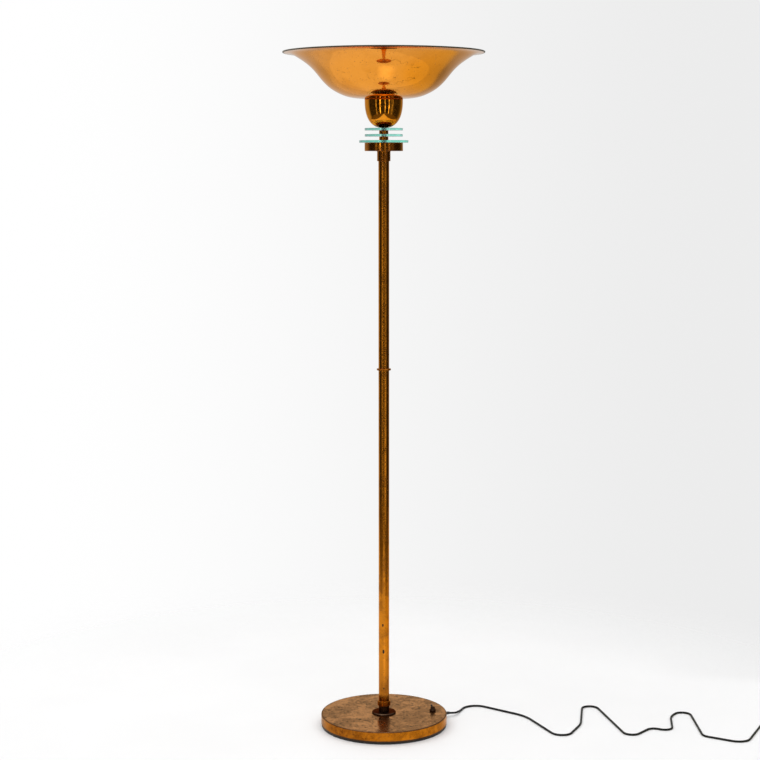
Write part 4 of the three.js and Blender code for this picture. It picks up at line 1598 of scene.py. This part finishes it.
@dataclass(frozen=True)
class Base:
    """The round weighted foot: rubber pad, spun cover, and the strain relief at its side."""

    cover: NodeSpan
    edge: float = 0.0022
    flat_radius: float = 0.10
    lead_azimuth: float = 20.0
    lead_height: float = 0.011

    def cover_surface(self) -> Surface:
        """The cover: a flat top that turns down into a skirt.

        Returns:
            The surface.
        """
        radius, bottom, top = self.cover.radius, self.cover.bottom, self.cover.top
        inner = radius - SHEET
        return revolved(rounded_outline([
            (inner, bottom, 0.0003), (radius, bottom, 0.0006), (radius, top, self.edge),
            (self.flat_radius, top, 0.0), (ROD_HOLE, top, 0.0002), (ROD_HOLE, top - SHEET, 0.0002),
            (inner, top - SHEET, self.edge - SHEET)]), 320)

    def relief_surface(self) -> Surface:
        """The strain relief: a flange against the skirt, then a ribbed taper.

        Its outline is turned about Z and laid along the lead's azimuth. The taper loses 1.1 mm over its length,
        and its grooves are 0.5 mm deep: depth (0.5 - 0.5 tanh(5 sin(2 pi l / pitch))).

        Returns:
            The surface.
        """
        start, end, pitch = 0.0030, 0.0205, 0.0030
        along = np.linspace(start, end, 72)
        taper = 0.0050 - 0.0011 * (along - start) / (end - start)
        groove = 0.0005 * (0.5 - 0.5 * np.tanh(5 * np.sin(2 * np.pi * along / pitch)))
        ribs = np.stack([taper - groove, along], axis=1)
        outline = np.concatenate([
            rounded_outline([(0.00305, -0.0012, 0.0001), (0.0045, -0.0012, 0.0002)], closed=False),
            [(0.0045, 0.0002), (0.0045, 0.0004), (0.0056, 0.0004), (0.0060, 0.0006), (0.0062, 0.0010),
             (0.0062, 0.0018), (0.0060, 0.0022), (0.0056, 0.0024), (0.0052, 0.0024)],
            ribs, [(0.0039, 0.0212), (0.0036, 0.0216), (0.00305, 0.0217)]])
        azimuth = math.radians(self.lead_azimuth)
        laid = revolved(outline, 40).turned(Euler((0.0, math.pi / 2, azimuth)))
        return laid.moved((self.cover.radius * math.cos(azimuth), self.cover.radius * math.sin(azimuth),
                           self.lead_height))

    def build(self, palette: Palette) -> None:
        """Builds the base's pieces.

        Args:
            palette: the finishes.
        """
        pad = NodeSpan.of("foot_pad")
        outline = rounded_outline([
            (0, pad.bottom, 0), (pad.radius, pad.bottom, 0.0007), (pad.radius, pad.top, 0.0007), (0, pad.top, 0)],
            closed=False)
        make_piece("rubber_foot", revolved(outline, 240), palette.rubber, ("foot_pad",))
        make_piece("spun_base_cover", self.cover_surface(), palette.base, ("base_cover",))
        make_piece("strain_relief", self.relief_surface(), palette.rubber, ("cord_bushing",))


# -------------------------------------------------------------------------------------------------- pole


@dataclass(frozen=True)
class TurnedRing:
    """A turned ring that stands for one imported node: its hole, edge rounding and steps."""

    name: str
    node: str
    slot: str
    hole: float
    edge: float
    segments: int = 128

    def build(self, material: bpy.types.Material) -> None:
        """Builds the ring in its node's span.

        Args:
            material: its finish.
        """
        span = NodeSpan.of(self.node)
        outline = ring_outline(self.hole, span.radius, span.bottom, span.top, self.edge)
        make_piece(self.name, revolved(outline, self.segments).moved((span.x, span.y, 0)), material,
                   (self.node,))


@dataclass(frozen=True)
class Pole:
    """The foot's washer, neck and collar, two tubes joined by a ring, and the collar at the top."""

    bore: float = 0.0125

    def washer_surface(self, span: NodeSpan) -> Surface:
        """The foot's washer: a low cone over a short straight edge.

        Args:
            span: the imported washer's span.

        Returns:
            The surface.
        """
        return revolved(rounded_outline([
            (ROD_HOLE, span.bottom, 0.0002), (span.radius, span.bottom, 0.0003),
            (span.radius, span.top - 0.0020, 0.0005), (span.radius - 0.0020, span.top, 0.0006),
            (ROD_HOLE, span.top, 0.0002)]), 160)

    def tube_surface(self, span: NodeSpan) -> Surface:
        """A tube: an open ring with finely broken edges, in lengths of about 20 mm.

        Args:
            span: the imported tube's span.

        Returns:
            The surface.
        """
        heights = np.linspace(span.bottom + 0.002, span.top - 0.002, max(2, int(span.height / 0.02)))
        wall = [(span.radius, height, 0.0) for height in heights]
        return revolved(rounded_outline([
            (self.bore, span.bottom, 0.0001), (span.radius, span.bottom, 0.0003), *wall,
            (span.radius, span.top, 0.0003), (self.bore, span.top, 0.0001)], steps=3), 128)

    def top_collar_surface(self, span: NodeSpan) -> Surface:
        """The top collar, with a small bead round its upper edge.

        Args:
            span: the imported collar's span.

        Returns:
            The surface.
        """
        body = span.radius - 0.0007
        return revolved(rounded_outline([
            (COLLAR_BORE, span.bottom, 0.0002), (body, span.bottom, 0.0006), (body, span.top - 0.0014, 0.0002),
            (span.radius, span.top - 0.0012, 0.0003), (span.radius, span.top, 0.0004),
            (COLLAR_BORE, span.top, 0.0002)]), 128)

    def build(self, palette: Palette) -> None:
        """Builds the pole's pieces.

        Args:
            palette: the finishes.
        """
        make_piece("bevelled_washer", self.washer_surface(NodeSpan.of("foot_washer")), palette.bronze,
                   ("foot_washer",))
        TurnedRing("dark_neck", "foot_neck", "dark_bronze", ROD_HOLE, 0.0005).build(palette.bronze)
        TurnedRing("foot_collar_ring", "foot_collar", "polished_copper", COLLAR_BORE, 0.0008).build(palette.fittings)
        for node in ("lower_tube", "upper_tube"):
            make_piece(f"{node}_drawn", self.tube_surface(NodeSpan.of(node)), palette.pole,
                       (node,))
        TurnedRing("middle_ring", "joint_ring", "polished_copper", ROD_HOLE, 0.0011).build(palette.fittings)
        make_piece("beaded_collar", self.top_collar_surface(NodeSpan.of("top_collar")), palette.fittings,
                   ("top_collar",))


# -------------------------------------------------------------------------------------------------- head


@dataclass(frozen=True)
class GlassStack:
    """The shallow holder, three glass discs and the spacers between them."""

    plate_hole: float = 0.0183

    def holder_surface(self, span: NodeSpan) -> Surface:
        """The holder's cap: a drawn skirt with a rounded shoulder, open below.

        Args:
            span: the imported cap's span.

        Returns:
            The surface.
        """
        inner = span.radius - SHEET
        return revolved(rounded_outline([
            (inner, span.bottom, 0.0002), (span.radius, span.bottom, 0.0004), (span.radius, span.top, 0.0008),
            (ROD_HOLE, span.top, 0.0002), (ROD_HOLE, span.top - SHEET, 0.0002),
            (inner, span.top - SHEET, 0.0003)]), 192)

    def build(self, palette: Palette) -> None:
        """Builds the stack.

        Args:
            palette: the finishes.
        """
        plate = NodeSpan.of("holder_plate")
        outline = ring_outline(self.plate_hole, plate.radius, plate.bottom, plate.top, 0.0003)
        make_piece("holder_floor", revolved(outline, 160), palette.bronze, ("holder_plate",))
        make_piece("holder_skirt", self.holder_surface(NodeSpan.of("holder_cap")), palette.fittings,
                   ("holder_cap",))
        for size in ("large", "middle", "upper"):
            TurnedRing(f"glass_{size}", f"glass_disc_{size}", "clear_glass", ROD_HOLE, 0.0005,
                       192).build(palette.glass)
        for level in ("lower", "upper"):
            TurnedRing(f"turned_spacer_{level}", f"spacer_{level}", "polished_copper", ROD_HOLE,
                       0.0004).build(palette.fittings)


@dataclass(frozen=True)
class Cup:
    """The egg-shaped cup under the bowl: r = R sin(a)^(2/n), z = bottom + depth (1 - cos(a)^(2/n))."""

    span: NodeSpan
    power: float = 2.5
    steps: int = 72

    def outline(self, inset: float) -> Array:
        """One wall of the cup, from its hole up to its brim.

        Args:
            inset: distance inside the outer wall.

        Returns:
            Radius and height of each point.
        """
        radius, bottom = self.span.radius - inset, self.span.bottom + inset
        depth = self.span.top - bottom
        first = math.asin((ROD_HOLE / radius) ** (self.power / 2))
        angle = np.linspace(first, np.pi / 2, self.steps)
        flat = 2 / self.power
        return np.stack([radius * np.sin(angle) ** flat,
                         bottom + depth - depth * np.clip(np.cos(angle), 0, 1) ** flat], axis=1)

    def build(self, palette: Palette) -> None:
        """Builds the cup.

        Args:
            palette: the finishes.
        """
        outline = np.concatenate([self.outline(0.0), self.outline(SHEET)[::-1]])
        make_piece("egg_cup", revolved(outline, 192), palette.cup, ("cup",))


@dataclass(frozen=True)
class Bowl:
    """The wide spun bowl: flat middle, shallow dish, steep shoulder, flaring lip and a rolled bead.

    The meridian gives radius and height above the bowl's bottom, in millimetres.
    """

    span: NodeSpan
    bead: float = 0.0019
    meridian: tuple[tuple[float, float], ...] = (
        (50, 0), (76, 2), (97, 6.4), (118, 15), (139, 28), (160, 48.5), (181, 73.5), (200, 90.5), (220, 104),
        (240, 114), (258.1, 116.2),
    )

    def outline(self) -> Array:
        """The bowl's closed outline: out along the outer wall, round the bead and back along the inner wall.

        Returns:
            Radius and height of each point.
        """
        knots = np.array(self.meridian) * MM + (0.0, self.span.bottom)
        outer, tangent = natural_spline(knots, 150)
        inner = outer + SHEET * np.stack([-tangent[:, 1], tangent[:, 0]], axis=1)
        centre = np.array([self.span.radius - self.bead, self.span.top - self.bead])
        angle = np.radians(np.linspace(-80, 170, 22))[:, None]
        bead = centre + self.bead * np.concatenate([np.cos(angle), np.sin(angle)], axis=1)
        flat = np.linspace(ROD_HOLE, knots[0, 0] - MM, 12)
        low = np.stack([flat, np.full_like(flat, self.span.bottom)], axis=1)
        return np.concatenate([low, outer[:-1], bead, inner[-3::-1], low[::-1] + (0.0, SHEET)])

    def build(self, palette: Palette) -> None:
        """Builds the bowl.

        Args:
            palette: the finishes.
        """
        make_piece("spun_bowl", revolved(self.outline(), 256), palette.bowl, ("bowl_shade",))


@dataclass(frozen=True)
class BulbMount:
    """What stands in the bowl: a washer, the lampholder and the bulb."""

    socket_bore: float = 0.0163
    floor_height: float = 0.009
    glass_wall: float = 0.001
    neck: tuple[Range, ...] = ((0.0128, 0.0), (0.0132, 0.007), (0.0164, 0.017))

    def holder_surface(self, span: NodeSpan) -> Surface:
        """The lampholder's body: a rounded pot with a collar, hollow from the top.

        Args:
            span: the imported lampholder's span.

        Returns:
            The surface.
        """
        body, floor = span.radius - 0.0012, span.bottom + self.floor_height
        return revolved(rounded_outline([
            (ROD_HOLE, span.bottom, 0.0003), (body, span.bottom, 0.0020), (body, span.top - 0.0080, 0.0008),
            (span.radius, span.top - 0.0070, 0.0006), (span.radius, span.top, 0.0010),
            (self.socket_bore, span.top, 0.0008), (self.socket_bore, floor, 0.0010), (ROD_HOLE, floor, 0.0003)]), 96)

    def bulb_outline(self, span: NodeSpan) -> Array:
        """The bulb's glass, as one wall that runs out over the neck and ball and back inside: a smooth curve
        through the neck's knots, then a circle.

        Args:
            span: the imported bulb's span.

        Returns:
            Radius and height of each point.
        """
        walls = []
        for inset in (0.0, self.glass_wall):
            radius = span.radius - inset
            centre = span.top - span.radius
            angle = np.radians(np.linspace(-38, 90, 60))
            ball = np.stack([radius * np.cos(angle), centre + radius * np.sin(angle)], axis=1)
            neck = np.array(self.neck) + (-inset, span.bottom)
            curve, _ = natural_spline(np.concatenate([neck, ball[[0, 4]]]), 40)
            walls.append(np.concatenate([curve, ball[5:-1], [(0.0, ball[-1, 1])]]))
        return np.concatenate([walls[0], walls[1][::-1]])

    def bulb_surface(self, span: NodeSpan) -> Surface:
        """The bulb's glass as two nested skins joined at the neck's foot.

        Args:
            span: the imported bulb's span.

        Returns:
            The surface.
        """
        outline = self.bulb_outline(span)
        half = len(outline) // 2
        outline = np.concatenate([outline[half:], outline[:half]])
        return revolved(outline, 96)

    def build(self, palette: Palette) -> None:
        """Builds the lampholder and bulb.

        Args:
            palette: the finishes.
        """
        TurnedRing("bowl_washer_ring", "bowl_washer", "zinc_steel", ROD_HOLE, 0.0003, 64).build(palette.zinc)
        make_piece("lampholder_pot", self.holder_surface(NodeSpan.of("lampholder_body")), palette.porcelain,
                   ("lampholder_body",))
        make_piece("bulb_globe", self.bulb_surface(NodeSpan.of("bulb_glass")), palette.bulb,
                   ("bulb_glass",))


# ------------------------------------------------------------------------------------------------ switch


@dataclass(frozen=True)
class ToggleSwitch:
    """The toggle switch on the base: threaded bushing, hexagon nut and a bat-shaped lever."""

    bushing: NodeSpan
    nut_bottom: float
    nut_top: float
    thread_pitch: float = 0.00075
    thread_depth: float = 0.00016
    flats: float = 0.017
    bore: float = 0.0036
    pivot: float = 0.0385
    tilt: float = 15.0
    reach: float = 0.0134

    def bushing_surface(self) -> Surface:
        """The bushing, with a fine rounded thread in rings: each groove is depth (1 - cos(2 pi z / pitch)).

        Returns:
            The surface.
        """
        height = np.linspace(self.bushing.bottom + 0.0004, self.bushing.top - 0.0008, 160)
        groove = self.thread_depth * (1 - np.cos(2 * np.pi * height / self.thread_pitch))
        thread = np.stack([self.bushing.radius - groove, height], axis=1)
        top, bottom = self.bushing.top, self.bushing.bottom
        outline = np.concatenate([
            [(self.bore, bottom), (self.bushing.radius - 0.0004, bottom)], thread,
            [(self.bushing.radius - 0.0005, top - 0.0002), (self.bushing.radius - 0.0008, top),
             (self.bore + 0.0004, top), (self.bore, top - 0.0004)]])
        return revolved(outline, 64).moved((self.bushing.x, self.bushing.y, 0))

    def nut_surface(self) -> Surface:
        """The hexagon nut: radius = apothem / cos(angle from the nearest flat), kept inside a chamfer cone that
        cuts the corners at the top and bottom.

        Returns:
            The surface.
        """
        columns = 120
        angle = 2 * np.pi * np.arange(columns) / columns
        apothem = self.flats / 2
        away = (angle + np.pi / 6) % (np.pi / 3) - np.pi / 6
        flats = apothem / np.cos(away)
        bottom, top, hole = self.nut_bottom, self.nut_top, self.bushing.radius
        corner = apothem / math.cos(np.pi / 6)
        levels = np.linspace(0, 1, 24)
        height = bottom + (top - bottom) * levels
        slope = math.tan(math.radians(60))
        from_end = np.minimum(height - bottom, top - height)
        cone = apothem * 0.97 + from_end * slope
        radius = np.minimum(flats[None, :], np.minimum(cone, corner)[:, None])
        outer = np.stack(np.broadcast_arrays(radius * np.cos(angle), radius * np.sin(angle), height[:, None]), -1)
        inner = [np.stack([hole * np.cos(angle), hole * np.sin(angle), np.full(columns, level)], -1)[None]
                 for level in (top, bottom)]
        rows = np.concatenate([outer, *inner])
        return grid_surface(rows, True, False, False).moved((self.bushing.x, self.bushing.y, 0))

    def lever_surface(self) -> Surface:
        """The lever: a ball, a thin neck and a bat that swells towards its round tip, leaning to -X.

        Returns:
            The surface.
        """
        outline = np.array([(0, -0.0028), (0.0013, -0.0025), (0.0023, -0.0016), (0.0028, 0.0), (0.0025, 0.0013),
                            (0.0019, 0.0024), (0.0016, 0.0038), (0.0017, 0.0056), (0.0020, 0.0080),
                            (0.0023, 0.0105), (0.0023, 0.0120), (0.0017, 0.0130), (0.0, self.reach)])
        curve, _ = natural_spline(outline, 90)
        curve[[0, -1], 0] = 0.0
        lever = revolved(np.maximum(curve, (0.0, -1.0)), 48).turned(Euler((0.0, math.radians(-self.tilt), 0.0)))
        return lever.moved((self.bushing.x, self.bushing.y, self.pivot))

    def build(self, palette: Palette) -> None:
        """Builds the switch.

        Args:
            palette: the finishes.
        """
        make_piece("threaded_bushing", self.bushing_surface(), palette.bronze, ("switch_bushing",))
        make_piece("hexagon_nut", self.nut_surface(), palette.bronze, ("switch_nut",))
        make_piece("bat_lever", self.lever_surface(), palette.plastic, ("switch_lever",),
                   LEVER_BODY)


# ------------------------------------------------------------------------------------------- carried over


class SlotFinish(Enum):
    """Which finish a carried-over node takes, by the record's slot; the value names the palette's field."""

    ZINC_STEEL = "zinc"
    CONTACT_BRASS = "brass"
    CAST_IRON = "iron"
    BLACK_PLASTIC = "plastic"
    BLACK_RUBBER = "rubber"
    POLISHED_COPPER = "fittings"
    DARK_BRONZE = "bronze"
    AGED_COPPER = "base"
    CLEAR_GLASS = "glass"
    BULB_GLASS = "bulb"
    PORCELAIN = "porcelain"
    CORD_BLACK = "cord"


def dress_carried_nodes(palette: Palette) -> None:
    """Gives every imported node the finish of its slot.

    Args:
        palette: the finishes.
    """
    for part in frame["record"]["subparts"]:
        node = frame["nodes"][part["node"]]
        material = getattr(palette, SlotFinish[part["material_slot"].upper()].value)
        node.data.materials.clear()
        node.data.materials.append(material)
        LOG.info("%s: %s", node.name, material.name)


def main() -> None:
    """Builds the lamp: camera and lead first, then from the base upwards."""
    logging.basicConfig(level=logging.INFO, format="%(name)s: %(message)s")
    build_surroundings()
    base = NodeSpan.of("base_cover")
    palette = Palette.built(Effects.built(), base, NodeSpan.of("lower_tube").radius)
    dress_carried_nodes(palette)
    nut_low, nut_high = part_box("switch_nut")
    MainsLead().build(palette)
    Base(base).build(palette)
    Pole().build(palette)
    GlassStack().build(palette)
    Cup(NodeSpan.of("cup")).build(palette)
    Bowl(NodeSpan.of("bowl_shade")).build(palette)
    BulbMount().build(palette)
    ToggleSwitch(NodeSpan.of("switch_bushing"), nut_low[2], nut_high[2]).build(palette)


if __name__ == "__main__":
    main()
